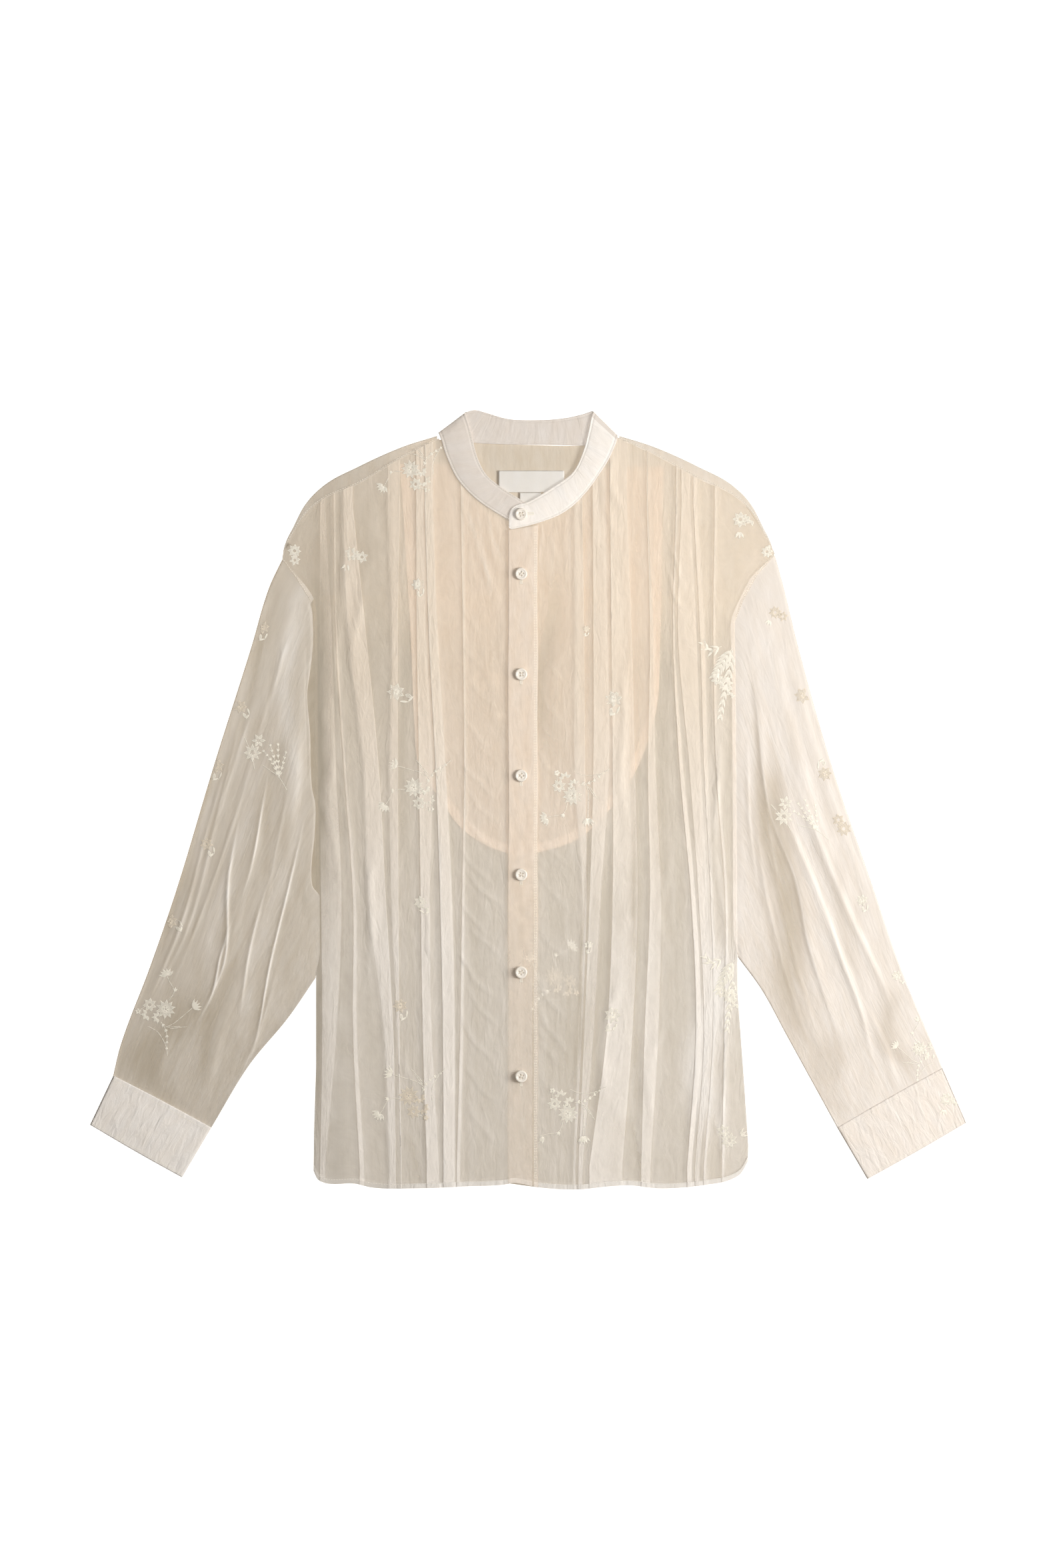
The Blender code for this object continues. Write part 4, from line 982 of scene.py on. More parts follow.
def inner_tone(x, y):
    """Change of cover of back and yoke as painted light: less, for painted shade, at the upper left and the
    left side away from the light, and more, for painted light, at the lower right.
    """
    upper = 0.9 * ease((-100.0 - x) / 60.0) * ease((y - 60.0) / 120.0)
    side = 1.0 * ease((-172.0 - x) / 18.0)
    return 0.5 * ease((x - 165.0) / 25.0) * ease((60.0 - y) / 200.0) - np.maximum(upper, side)


class ShirtPiece:
    """Shared by the operators of the pieces."""
    bl_options = {"REGISTER", "UNDO"}


class SHIRT_OT_back(ShirtPiece, Operator):
    """Back panel and its yoke, which folds over the shoulders to the front seams"""
    bl_idname = "shirt.back"
    bl_label = "Back and yoke"

    def execute(self, context):
        self.make_back(context)
        self.make_yoke(context)
        return {"FINISHED"}

    def make_back(self, context):
        """Rows from the yoke seam to the hem, columns from side fold to side fold, with slow waves."""
        rows, columns = 150, 120
        v = np.linspace(0.0, 1.0, rows)[:, None]
        u = np.linspace(0.0, 1.0, columns)[None, :]
        y = YOKE_SEAM_HEIGHT + (-362.0 - YOKE_SEAM_HEIGHT) * v
        # Above the ends of the armholes the sides run on under the sleeves
        left = np.where(y > 193.7, -211.5, side_line(y, "left"))
        right = np.where(y > 173.5, 201.8 + (y - 173.5) * 0.36, side_line(y, "right"))
        x = left + 1.0 + (right - left - 2.0) * u
        y = y + (hem_height(x) + 0.6 - -362.0) * ease((v - 0.9) / 0.1)
        z = BACK_LEVEL + 0.25 * ripple(x, y * 0.5, 40.0, 1.0) * (1 - ease((np.abs(u - 0.5) - 0.46) / 0.04))
        grid = np.dstack([x, y + np.zeros_like(x), np.maximum(z, 0.25)])
        SURFACES["back"] = Relief([grid])
        # The back's cover carries painted light and shade
        mesh = grid_mesh("back_cloth", grid, inner_tone(x, y))
        piece = link(context, "back_cloth", mesh, "sheer_cloth", "sheer_back")
        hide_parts("back")

    def yoke_half(self, side):
        """Columns along a shoulder, each from the front strip over the fold to the back layer."""
        half = np.concatenate([np.linspace(NECK_REACH, 200.0, 56), np.linspace(202.0, 239.0, 26)])
        x = OUTWARD[side] * half[None, :]
        top = shoulder_height(x)
        seam = np.minimum(shoulder_seam(x, side) - 1.2, top - 2.0)
        seam_low = np.maximum(YOKE_SEAM_HEIGHT, through(ARMHOLE[side], x))
        seam_low = np.minimum(seam_low, top - 2.5)
        axis = top - SHOULDER_BEND
        front_rows = seam + (axis - seam) * np.linspace(0.0, 1.0, YOKE_STRIP_ROWS)[:, None]
        front_z = YOKE_FRONT_LEVEL + 0.15 * ripple(x + 0 * front_rows, front_rows, 14.0, 3.0)
        turn = np.radians(np.linspace(67.5, -67.5, YOKE_BEND_ROWS))[:, None]
        middle = (YOKE_FRONT_LEVEL + BACK_LEVEL) / 2
        fold_rows = axis + SHOULDER_BEND * np.cos(turn)
        fold_z = middle + (middle - BACK_LEVEL) * np.sin(turn) + 0 * x
        back_rows = axis + (seam_low - axis) * np.linspace(0.0, 1.0, 40)[:, None]
        back_z = BACK_LEVEL + 0.12 * ripple(x + 0 * back_rows, back_rows, 30.0, 4.0)
        rows = np.concatenate([front_rows, fold_rows, back_rows])
        z = np.concatenate([front_z, fold_z, np.maximum(back_z, 0.3)])
        return np.dstack([np.broadcast_to(x, rows.shape), rows, z])

    def yoke_middle(self):
        """The back layer between the shoulders, under the collar."""
        x = np.linspace(-NECK_REACH, NECK_REACH, 70)[None, :]
        top = through(BACK_NECK_SEAM, x)
        rows = top + (YOKE_SEAM_HEIGHT - top) * np.linspace(0.0, 1.0, 50)[:, None]
        z = BACK_LEVEL + 0.15 * ripple(x + 0 * rows, rows, 30.0, 6.0)
        return np.dstack([np.broadcast_to(x, rows.shape), rows, np.maximum(z, 0.3)])

    def make_yoke(self, context):
        """Both shoulders and the middle as one piece, its strips and folds in the second finish."""
        points, quads, front, count = [], [], [], 0
        parts = ((self.yoke_half("left"), 1), (self.yoke_half("right"), 1), (self.yoke_middle(), 0))
        for part, folded in parts:
            own = grid_quads(*part.shape[:2])
            folded_faces = folded * (YOKE_STRIP_ROWS + YOKE_BEND_ROWS - 1) * (part.shape[1] - 1)
            front.append(np.arange(len(own)) < folded_faces)
            points.append(part.reshape(-1, 3))
            quads.append((own[:, ::-1] if count else own) + count)
            count += part.shape[0] * part.shape[1]
        points = np.concatenate(points)
        outside = points[:, 2] > FRONT_LEVEL - 0.5
        # The left half of the yoke's front strip is thinned as painted shade, away from the light
        lit_and_shaded_cover = np.where(outside, -0.7 * (points[:, 0] < 0), inner_tone(points[:, 0], points[:, 1]))
        mesh = mesh_from("yoke_cloth", points, np.concatenate(quads), points[:, :2] / UV_UNIT, lit_and_shaded_cover)
        piece = link(context, "yoke_cloth", mesh, "sheer_cloth", "yoke_cloth", "yoke_front")
        mesh.polygons.foreach_set("material_index", np.concatenate(front).astype(np.int32))
        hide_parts("yoke")


class SHIRT_OT_lining(ShirtPiece, Operator):
    """Bib lining behind the chest, one half in each front"""
    bl_idname = "shirt.lining"
    bl_label = "Bib lining"

    def execute(self, context):
        for side in SIDES:
            edge = along(BIB[side], np.linspace(0.0, 1.0, 110))
            inner = UNDERLAP_EDGE - 0.5 if side == "left" else PLACKET_EDGES[1] - 4.5
            u = np.linspace(0.0, 1.0, 70)[None, :]
            x = edge[:, :1] + (inner - edge[:, :1]) * u
            share = (edge[:, 1:] - edge[-1, 1]) / (edge[0, 1] - edge[-1, 1])
            limit = through(NECKLINE[side], np.clip(x, -84.0, 84.0)) - 2.0
            ceiling = np.where(np.abs(x) < 84.0, np.minimum(limit, edge[0, 1]), edge[0, 1])
            y = edge[-1, 1] + (ceiling - edge[-1, 1]) * share
            z = BIB_LEVEL + 0.2 * ripple(x, y, 36.0, 7.0)
            grid = np.dstack([x, y, z])
            from_edge = np.hypot(x[..., None] - edge[:, 0], y[..., None] - edge[:, 1]).min(axis=-1)
            press = 0.75 * (1 - ease((from_edge - 7.5) / 1.2))
            # Painted shade on the right bib beside the placket: its cover is lowered there
            if side == "right":
                press = press - 0.8 * ridge_sum((Ridge(28.0, 230.0, 30.0, 0.0, 14.0, 1.0),), x, y)
            mesh = grid_mesh(f"bib_lining_{side}", grid, press, flip=side == "left")
            piece = link(context, f"bib_lining_{side}", mesh, "lining_cloth", "bib_lining")
            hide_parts(f"bib_{side}")
        return {"FINISHED"}


class SHIRT_OT_fronts(ShirtPiece, Operator):
    """Two pleated fronts with their turned hems"""
    bl_idname = "shirt.fronts"
    bl_label = "Fronts"

    def execute(self, context):
        sizes = context.scene.shirt_sizes
        for side in SIDES:
            grid, press = front_grid(side, sizes.pleat_gap / MM, sizes.hem_width / MM)
            SURFACES[f"front_{side}"] = Relief([grid])
            mesh = grid_mesh(f"front_cloth_{side}", grid, press)
            piece = link(context, f"front_cloth_{side}", mesh, "sheer_cloth", "sheer_front")
            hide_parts(f"front_{side}")
        return {"FINISHED"}


def sleeve_patch(side):
    """The plan of a sleeve as a function of s, from armhole to cuff, and t, from its outer to its inner edge.

    It is the sum of the two ruled patches between opposite edge curves less the patch of the four corners.
    """
    outer, inner = np.array(SLEEVE_OUTER[side]), np.array(SLEEVE_INNER[side])
    low, high = inner[0, 1], ARMHOLE[side][-1][1] - 25.0
    body = [(side_line(y, side), y) for y in np.linspace(high, low, 6)]
    armhole = np.array(list(ARMHOLE[side]) + body)
    armhole[0], armhole[-1] = outer[0], inner[0]
    cuff = np.array([outer[-1], inner[-1]])

    def surface(s, t):
        s, t = s[..., None], t[..., None]
        start, stop = along(outer, s[..., 0]), along(inner, s[..., 0])
        first, last = along(armhole, t[..., 0]), cuff[0] + (cuff[1] - cuff[0]) * t
        corners = (1 - s) * ((1 - t) * outer[0] + t * inner[0]) + s * ((1 - t) * cuff[0] + t * cuff[1])
        return (1 - t) * start + t * stop + (1 - s) * first + s * last - corners

    return surface


def tube_ring(top, edge, under_columns):
    """Shares across a flat tube, all round it from those of its top, and how far each belongs to the top."""
    under = np.linspace(1 - edge, edge, under_columns)
    near = edge * 0.3
    shares = np.concatenate([top, [1 - near, 1.0, 1 - near], under, [near, 0.0, near]])
    turn = [0.85, 0.5, 0.15]
    on_top = np.concatenate([np.ones(len(top)), turn, np.zeros(under_columns), turn[::-1]])
    return shares, on_top


class SHIRT_OT_sleeves(ShirtPiece, Operator):
    """Two sleeves, each a tube laid flat with long folds that run to the cuff"""
    bl_idname = "shirt.sleeves"
    bl_label = "Sleeves"

    def execute(self, context):
        for side in SIDES:
            surface = sleeve_patch(side)
            edge = SLEEVE_FOLD
            turned = 0.5 - 0.5 * np.cos(np.linspace(0.0, math.pi, SLEEVE_TOP_COLUMNS))
            t_top = edge + (1 - 2 * edge) * (0.25 * turned + 0.75 * np.linspace(0.0, 1.0, SLEEVE_TOP_COLUMNS))
            t_ring, on_top = tube_ring(t_top, edge, SLEEVE_UNDER_COLUMNS)
            s = np.linspace(0.0, 1.0, SLEEVE_ROWS)[:, None] + np.zeros((1, len(t_ring)))
            t = t_ring[None, :] + np.zeros_like(s)
            plan = surface(s, t)
            x, y = plan[..., 0], plan[..., 1]
            height, press = crease_sum(SLEEVE_CREASES[side], x, y)
            depth = 1.35 if side == "left" else 1.1
            height = depth * height + 0.3 * ripple(x, y * 0.6, 34.0, 8.0)
            height += 0.12 * ripple(x, y * 0.6, 12.0, 9.0)
            # The right sleeve's cover is raised all over as painted light, nearest the lamp, and the sleeve
            # tones paint light and shade
            press = press * 1.2 * depth + (0.0 if side == "left" else 0.75)
            press += 0.2 * ripple(x * 1.8, y * 0.4, 40.0, 3.0) + ridge_sum(SLEEVE_TONES[side], x, y)
            calm = ease(s / 0.05) * ease((1 - s) / 0.03)
            calm = calm * ease(t / 0.05) * ease((1 - t) / 0.05)
            top = FRONT_LEVEL + 0.1 + height * calm
            top = np.where(s < 0.04, ARMHOLE_LEVEL + (top - ARMHOLE_LEVEL) * ease(s / 0.04), top)
            under = 0.45 + 0.12 * ripple(x, y, 40.0, 3.0)
            z = under + (top - under) * on_top[None, :]
            reach = -OUTWARD[side] * 4.0
            if side == "left":
                puff = through(LEFT_PUFF, y) - side_line(y, side)
                beside = ease((y - LEFT_PUFF[0][0]) / 10.0) * ease((LEFT_PUFF[-1][0] - y) / 6.0 + 0.5)
                reach = reach + on_top[None, :] * beside * (puff - reach)
                sunk = ease((s - 0.001) / 0.009)
                rolled = FRONT_LEVEL - 0.6 + (np.maximum(z, FRONT_LEVEL + 0.1) - FRONT_LEVEL + 0.6) * sunk
                z = z + (rolled - z) * beside * on_top[None, :]
            x = x + reach * np.maximum(0.0, 1 - s / 0.04) * ease(t / 0.08) * ease((1 - t) / 0.06)
            grid = np.dstack([x, y, z])
            SURFACES[f"sleeve_{side}"] = Relief([grid[:, on_top > 0.9]])
            mesh = grid_mesh(f"sleeve_cloth_{side}", grid, press * on_top[None, :], closed=True,
                             flip=side == "right")
            piece = link(context, f"sleeve_cloth_{side}", mesh, "sheer_cloth",
                         f"sheer_sleeve_{side}", f"sleeve_under_{side}")
            under_face = np.tile(on_top < 0.3, (SLEEVE_ROWS - 1, 1)).astype(np.int32).ravel()
            mesh.polygons.foreach_set("material_index", under_face)
            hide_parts(f"sleeve_{side}")
        return {"FINISHED"}


class SHIRT_OT_cuffs(ShirtPiece, Operator):
    """Two cuffs of doubled cloth, laid flat"""
    bl_idname = "shirt.cuffs"
    bl_label = "Cuffs"

    def execute(self, context):
        for side in SIDES:
            seam = np.array([SLEEVE_OUTER[side][-1], SLEEVE_INNER[side][-1]], dtype=float)
            end = np.array(CUFF_END[side], dtype=float)
            t, on_top = tube_ring(np.linspace(CUFF_FOLD, 1 - CUFF_FOLD, 80), CUFF_FOLD, 24)
            s, t = np.meshgrid(np.linspace(-0.02, 1.0, 46), t, indexing="ij")
            line = seam[0] + (seam[1] - seam[0]) * t[..., None]
            last = end[0] + (end[1] - end[0]) * t[..., None]
            plan = line + (last - line) * s[..., None]
            bow = 1.4 * np.sin(math.pi * t) * (s - 0.5)
            plan[..., 1] = plan[..., 1] - bow
            x, y = plan[..., 0], plan[..., 1]
            swell = np.sin(math.pi * t) * np.sin(math.pi * np.clip(s, 0, 1))
            top = 3.9 + 0.35 * ripple(x, y, 24.0, 1.0) + 0.5 * swell
            under = 0.5 + np.zeros_like(top)
            z = under + (top - under) * on_top[None, :]
            grid = np.dstack([x, y, z])
            SURFACES[f"cuff_{side}"] = Relief([grid[:, on_top > 0.9]])
            mesh = grid_mesh(f"cuff_cloth_{side}", grid, np.zeros(grid.shape[:2]), closed=True,
                             flip=side == "right")
            piece = link(context, f"cuff_cloth_{side}", mesh, "band_cloth", f"cuff_{side}_weave")
            thicken(piece, context.scene.shirt_sizes.band_thickness, offset=-1.0)
            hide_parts(f"cuff_{side}")
        return {"FINISHED"}


def band_table(stations):
    """The columns of the collar band's table at stations between its rows."""
    table = np.array(BAND, dtype=float)
    return [through(list(zip(range(len(table)), column)), stations) for column in table.T]


def band_surface(stations, steps):
    """Rows of points across the collar band at stations along its table."""
    columns = band_table(stations)
    share = np.linspace(0.0, 1.0, steps)[:, None]
    x = columns[0] + (columns[2] - columns[0]) * share
    y = columns[1] + (columns[3] - columns[1]) * share
    level = np.clip(columns[4], 0.0, 1.25)
    z = COLLAR_INSIDE_LEVEL + (COLLAR_OUTSIDE_LEVEL - COLLAR_INSIDE_LEVEL) * level + 0 * share
    outside = ease((level - 0.8) / 0.2)
    z = z + outside * 0.5 * np.sin(math.pi * share) + 0.15 * ripple(x, y, 14.0, 4.0)
    for groove in (0.075, 0.925):
        z = z - 0.4 * np.exp(-((share - groove) / 0.022) ** 2)
    return np.dstack([x, y, z])


class SHIRT_OT_collar(ShirtPiece, Operator):
    """Collar band: one loop, folded flat over both shoulders"""
    bl_idname = "shirt.collar"
    bl_label = "Collar band"

    def execute(self, context):
        stations = np.linspace(0.0, len(BAND) - 1.0, 261)
        grid = band_surface(stations, 41)
        SURFACES["collar"] = Relief([grid[:, stations > 19.5], grid[:, stations < 5.5]])
        mesh = grid_mesh("collar_cloth", grid, np.zeros(grid.shape[:2]), flip=True)
        piece = link(context, "collar_cloth", mesh, "band_cloth", "band_weave", "band_shaded")
        # Painted shade on the collar's left front and inside, away from the light
        shaded = np.tile(stations[:-1] < 18.0, (grid.shape[0] - 1, 1)).astype(np.int32).ravel()
        mesh.polygons.foreach_set("material_index", shaded)
        thicken(piece, context.scene.shirt_sizes.band_thickness)
        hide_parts("collar_band")
        return {"FINISHED"}


class SHIRT_OT_placket(ShirtPiece, Operator):
    """Placket strip, puckered along its stitched edge"""
    bl_idname = "shirt.placket"
    bl_label = "Placket"

    def execute(self, context):
        rows, columns = 420, 22
        u = np.linspace(0.0, 1.0, columns)[None, :]
        v = np.linspace(0.0, 1.0, rows)[:, None]
        left, right = PLACKET_EDGES
        top = PLACKET_TOP[0] + (PLACKET_TOP[1] - PLACKET_TOP[0]) * u
        low = PLACKET_BOTTOM[0] + (PLACKET_BOTTOM[1] - PLACKET_BOTTOM[0]) * u
        y = top + (low - top) * v
        x = left + (right - left) * u + 0.35 * np.sin(v * 19.0) * (1 - u) + 0.4 * np.sin(v * 31.0 + 2.0) * u
        pucker = ease((u - 0.55) / 0.4) * (0.5 + 0.5 * np.sin(y * 1.02 + 1.8 * np.sin(y * 0.13)))
        soft = 0.55 * ripple(x * 0.6, y, 14.0, 2.0) * np.sin(math.pi * np.clip(u, 0.05, 0.95))
        calm = 1 - ease((y + 40.0) / 60.0) * 0.45
        z = PLACKET_LEVEL + 0.1 + (0.35 * pucker + soft) * calm - 0.6 * ease((u - 0.82) / 0.18)
        grid = np.dstack([x, y, z])
        SURFACES["placket"] = Relief([grid])
        press = -1.2 * ease((20.0 - y) / 260.0) + 0.12 * ripple(x, y, 18.0, 3.0)
        mesh = grid_mesh("placket_cloth", grid, press)
        piece = link(context, "placket_cloth", mesh, "band_cloth", "placket_cloth")
        thicken(piece, context.scene.shirt_sizes.band_thickness / 2)
        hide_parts("placket")
        return {"FINISHED"}


class SHIRT_OT_labels(ShirtPiece, Operator):
    """Bare neck label and care tag"""
    bl_idname = "shirt.labels"
    bl_label = "Labels"

    def execute(self, context):
        for node in ("neck_label", "care_tag"):
            low, high = (np.array(c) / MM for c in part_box(node))
            rows, columns = 20, 50
            x = np.linspace(low[0], high[0], columns)[None, :] + np.zeros((rows, 1))
            y = np.linspace(high[1], low[1], rows)[:, None] + np.zeros((1, columns))
            z = (low[2] + high[2]) / 2 + 0.25 * ripple(x, y, 30.0, 2.0)
            tape = grid_mesh(f"{node}_tape", np.dstack([x, y, z]))
            piece = link(context, f"{node}_tape", tape, "label_cloth", "label_tape")
            thicken(piece, 0.4 * MM)
            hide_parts(node)
        return {"FINISHED"}


class SHIRT_OT_buttons(ShirtPiece, Operator):
    """Seven buttons with four holes and their thread"""
    bl_idname = "shirt.buttons"
    bl_label = "Buttons"

    def execute(self, context):
        radius = context.scene.shirt_sizes.button_radius / MM
        for index, centre_y in enumerate(BUTTON_HEIGHTS):
            low, high = (np.array(c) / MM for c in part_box(f"button_{index + 1}"))
            self.make_button(context, index, centre_y, low[2], high[2], radius)
        return {"FINISHED"}

    def make_button(self, context, index, centre_y, base, top, radius):
        """A turned profile over angle; four pits are pressed into its top where the holes are."""
        dish = top - 0.32
        floor = [(0.4 * k, dish) for k in range(10)]
        rim = [(3.8, dish + 0.05), (4.1, top - 0.03), (4.8, top), (5.3, top - 0.08), (5.7, top - 0.35),
               (5.95, top - 0.8), (6.0, top - 1.2)]
        under = [(5.85, base + 0.5), (5.3, base + 0.1), (4.5, base), (2.0, base), (0.0, base)]
        profile = np.array(floor + rim + under)
        profile[:, 0] *= radius / 6.0
        steps = 72
        angle = np.linspace(0.0, 2 * math.pi, steps, endpoint=False)[None, :]
        r, z = profile[:, :1], profile[:, 1:] + np.zeros((1, steps))
        x, y = r * np.cos(angle), r * np.sin(angle)
        upper = (np.arange(len(profile)) < 9)[:, None]
        for sx in (-1, 1):
            for sy in (-1, 1):
                away = np.hypot(x - sx * HOLE_OFFSET, y - sy * HOLE_OFFSET)
                z = z - np.where(upper, 1.3 * ease((0.95 - away) / 0.3), 0.0)
        spin = 0.2 + index * 0.7
        world_x = BUTTON_X + x * math.cos(spin) - y * math.sin(spin)
        world_y = centre_y + x * math.sin(spin) + y * math.cos(spin)
        grid = np.dstack([world_x, world_y, z])
        mesh = grid_mesh(f"button_{index + 1}_turned", grid, closed=True)
        piece = link(context, f"button_{index + 1}_turned", mesh, "button_shell", "button_gloss")
        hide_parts(f"button_{index + 1}")
        points = []
        for sx in (-1, 1):
            for offset in (-0.22, 0.22):
                ends = np.array([[sx * HOLE_OFFSET + offset, way * HOLE_OFFSET] for way in (-1, 1)])
                turned = np.stack([ends[:, 0] * math.cos(spin) - ends[:, 1] * math.sin(spin),
                                   ends[:, 0] * math.sin(spin) + ends[:, 1] * math.cos(spin)], axis=-1)
                t = np.linspace(0.0, 1.0, 9)[:, None]
                line = turned[0] + (turned[1] - turned[0]) * t
                lift = dish - 0.9 + 1.2 * np.sin(math.pi * t) ** 0.5
                points.append(np.column_stack([line + (BUTTON_X, centre_y), lift]))
        mesh = strand_mesh(f"button_{index + 1}_thread", points, 0.26)
        link(context, f"button_{index + 1}_thread", mesh, "sheer_cloth", "shaded_thread")


def strand_mesh(name, paths, radius, sides=6):
    """Round strands along paths: a ring of points square to the path at each point, its ends drawn in."""
    points, quads, count = [], [], 0
    angle = np.linspace(0.0, 2 * math.pi, sides, endpoint=False)
    for path in paths:
        path = np.asarray(path, dtype=float)
        run = np.gradient(path, axis=0)
        run /= np.maximum(np.linalg.norm(run, axis=1), 1e-9)[:, None]
        side_way = np.cross(run, np.array([0.0, 0.0, 1.0]))
        side_way /= np.maximum(np.linalg.norm(side_way, axis=1), 1e-9)[:, None]
        up = np.cross(side_way, run)
        size = np.full(len(path), radius)
        size[0] = size[-1] = radius * 0.15
        ring = (path[:, None, :] + size[:, None, None] * (np.cos(angle)[None, :, None] * side_way[:, None, :]
                                                          + np.sin(angle)[None, :, None] * up[:, None, :]))
        points.append(ring.reshape(-1, 3))
        quads.append(grid_quads(len(path), sides, closed=True) + count)
        count += ring.shape[0] * sides
    points = np.concatenate(points)
    return mesh_from(name, points, np.concatenate(quads), points[:, :2] / UV_UNIT)


def stitch_row(path, length, gap, relief, lift):
    """Centres and directions of stitches along a path, laid on a relief."""
    path = np.asarray(path, dtype=float)
    steps = np.linalg.norm(np.diff(path, axis=0), axis=1)
    run = np.concatenate([[0.0], np.cumsum(steps)])
    count = int(run[-1] // (length + gap))
    at = (np.arange(count) + 0.5) * (length + gap)
    x, y = np.interp(at, run, path[:, 0]), np.interp(at, run, path[:, 1])
    dx = np.interp(at + length / 2, run, path[:, 0]) - np.interp(at - length / 2, run, path[:, 0])
    dy = np.interp(at + length / 2, run, path[:, 1]) - np.interp(at - length / 2, run, path[:, 1])
    size = np.maximum(np.hypot(dx, dy), 1e-6)
    z = relief(x, y) + lift
    return np.column_stack([x, y, z, dx / size, dy / size])


def stitch_mesh(name, rows, length, width):
    """Stitches as small grains, one base shape of five rings carried to every place."""
    s = np.array([-0.5, -0.38, 0.0, 0.38, 0.5])
    thick = np.array([0.12, 0.8, 1.0, 0.8, 0.12])
    angle = np.linspace(0.0, 2 * math.pi, 6, endpoint=False)
    base_x = np.repeat(s * length, 6)
    base_y = (thick[:, None] * np.cos(angle)[None, :]).ravel() * width / 2
    base_z = (thick[:, None] * np.sin(angle)[None, :]).ravel() * width / 2
    places = np.concatenate(rows)
    x = places[:, 0:1] + base_x * places[:, 3:4] - base_y * places[:, 4:5]
    y = places[:, 1:2] + base_x * places[:, 4:5] + base_y * places[:, 3:4]
    z = places[:, 2:3] + base_z
    points = np.dstack([x, y, z]).reshape(-1, 3)
    quads = grid_quads(5, 6, closed=True)
    count = len(places)
    all_quads = (quads[None, :, :] + (np.arange(count) * 30)[:, None, None]).reshape(-1, 4)
    return mesh_from(name, points, all_quads, points[:, :2] / UV_UNIT)


STITCH_GAP = 0.5


class SHIRT_OT_stitching(ShirtPiece, Operator):
    """Sewing stitches along seams, bands, hems and buttonholes"""
    bl_idname = "shirt.stitching"
    bl_label = "Stitching"

    def execute(self, context):
        sizes = context.scene.shirt_sizes
        length, width = sizes.stitch_length / MM, sizes.thread_width / MM
        gap = STITCH_GAP
        rows = {f"{place}_stitches": [] for place in ("collar", "placket", "cuff", "hem", "seam")}
        collar = SURFACES["collar"].height
        for share in (0.06, 0.95):
            for first, last in ((0.0, 5.2), (20.0, 25.6)):
                columns = band_table(np.linspace(first, last, 120))
                path = np.column_stack([columns[0] + (columns[2] - columns[0]) * share,
                                        columns[1] + (columns[3] - columns[1]) * share])
                rows["collar_stitches"].append(stitch_row(path, length, gap, collar, 0.5))
        placket = SURFACES["placket"].height
        y = np.linspace(262.0, -372.0, 600)
        for x in (PLACKET_EDGES[1] - 1.6, PLACKET_EDGES[1] - 3.2):
            wander = 0.25 * np.sin(y * 0.09)
            path = np.column_stack([x + wander, y])
            rows["placket_stitches"].append(stitch_row(path, length, gap, placket, 0.28))
        for side in SIDES:
            cuff = SURFACES[f"cuff_{side}"].height
            seam = np.array([SLEEVE_OUTER[side][-1], SLEEVE_INNER[side][-1]])
            end = np.array(CUFF_END[side])
            for share in (0.05, 0.955):
                line = seam + (end - seam) * share
                t = np.linspace(0.01, 0.99, 60)[:, None]
                path = line[0] + (line[1] - line[0]) * t
                rows["cuff_stitches"].append(stitch_row(path, length, gap, cuff, 0.15))
            out = OUTWARD[side]
            start, stop = (-205.0, -21.0) if side == "left" else (9.5, 210.0)
            x = np.linspace(start, stop, 200)
            relief = SURFACES[f"front_{side}"].height
            hem = np.column_stack([x, hem_height(x) + sizes.hem_width / MM - 0.6])
            rows["hem_stitches"].append(stitch_row(hem, length, gap, relief, 0.25))
            x = out * np.linspace(90.0, 236.0, 150)
            seam = np.column_stack([x, shoulder_seam(x, side) + 0.8])
            rows["seam_stitches"].append(stitch_row(seam, length, gap, relief, 0.6))
            hole = through(ARMHOLE[side], np.linspace(ARMHOLE[side][0][0], ARMHOLE[side][-1][0], 60))
            seam = np.column_stack([np.linspace(ARMHOLE[side][0][0], ARMHOLE[side][-1][0], 60), hole + 1.4])
            rows["seam_stitches"].append(stitch_row(seam, length, gap, relief, 0.4))
        for name, places in rows.items():
            mesh = stitch_mesh(name, places, length, width)
            link(context, name, mesh, "sheer_cloth", "thread")
        self.buttonholes(context)
        return {"FINISHED"}

    def buttonholes(self, context):
        """Close bars of thread beside each buttonhole: upright on the placket and level on the band."""
        places = []
        for index, centre_y in enumerate(BUTTON_HEIGHTS):
            relief = SURFACES["collar" if index == 0 else "placket"].height
            count = 34
            if index == 0:
                at = np.column_stack([np.linspace(BUTTON_X - 2.0, BUTTON_X + 12.5, count),
                                      np.full(count, centre_y + 0.6)])
            else:
                at = np.column_stack([np.full(count, BUTTON_X),
                                      np.linspace(centre_y + 6.0, centre_y - 9.5, count)])
            for offset in (-0.75, 0.75):
                shift = (0.0, offset) if index == 0 else (offset, 0.0)
                x, y = at[:, 0] + shift[0], at[:, 1] + shift[1]
                z = relief(x, y) + 0.45
                way = np.tile((0.0, 1.0) if index == 0 else (1.0, 0.0), (count, 1))
                places.append(np.column_stack([x, y, z, way]))
        mesh = stitch_mesh("buttonholes", places, 1.4, 0.42)
        link(context, "buttonholes", mesh, "sheer_cloth", "thread")


# Embroidery, in millimetres and degrees about the middle of each motif
Petal = namedtuple("Petal", "x y turn length width")


def rosette(x, y, count, reach, width, first=0.0, sweep=360.0, inner=0.2):
    """Petals that radiate from a middle."""
    turns = [first + sweep * k / count for k in range(count)]
    ways = [(turn, math.cos(math.radians(turn)), math.sin(math.radians(turn))) for turn in turns]
    return [Petal(x + inner * reach * dx, y + inner * reach * dy, turn, reach * (1 - inner), width)
            for turn, dx, dy in ways]


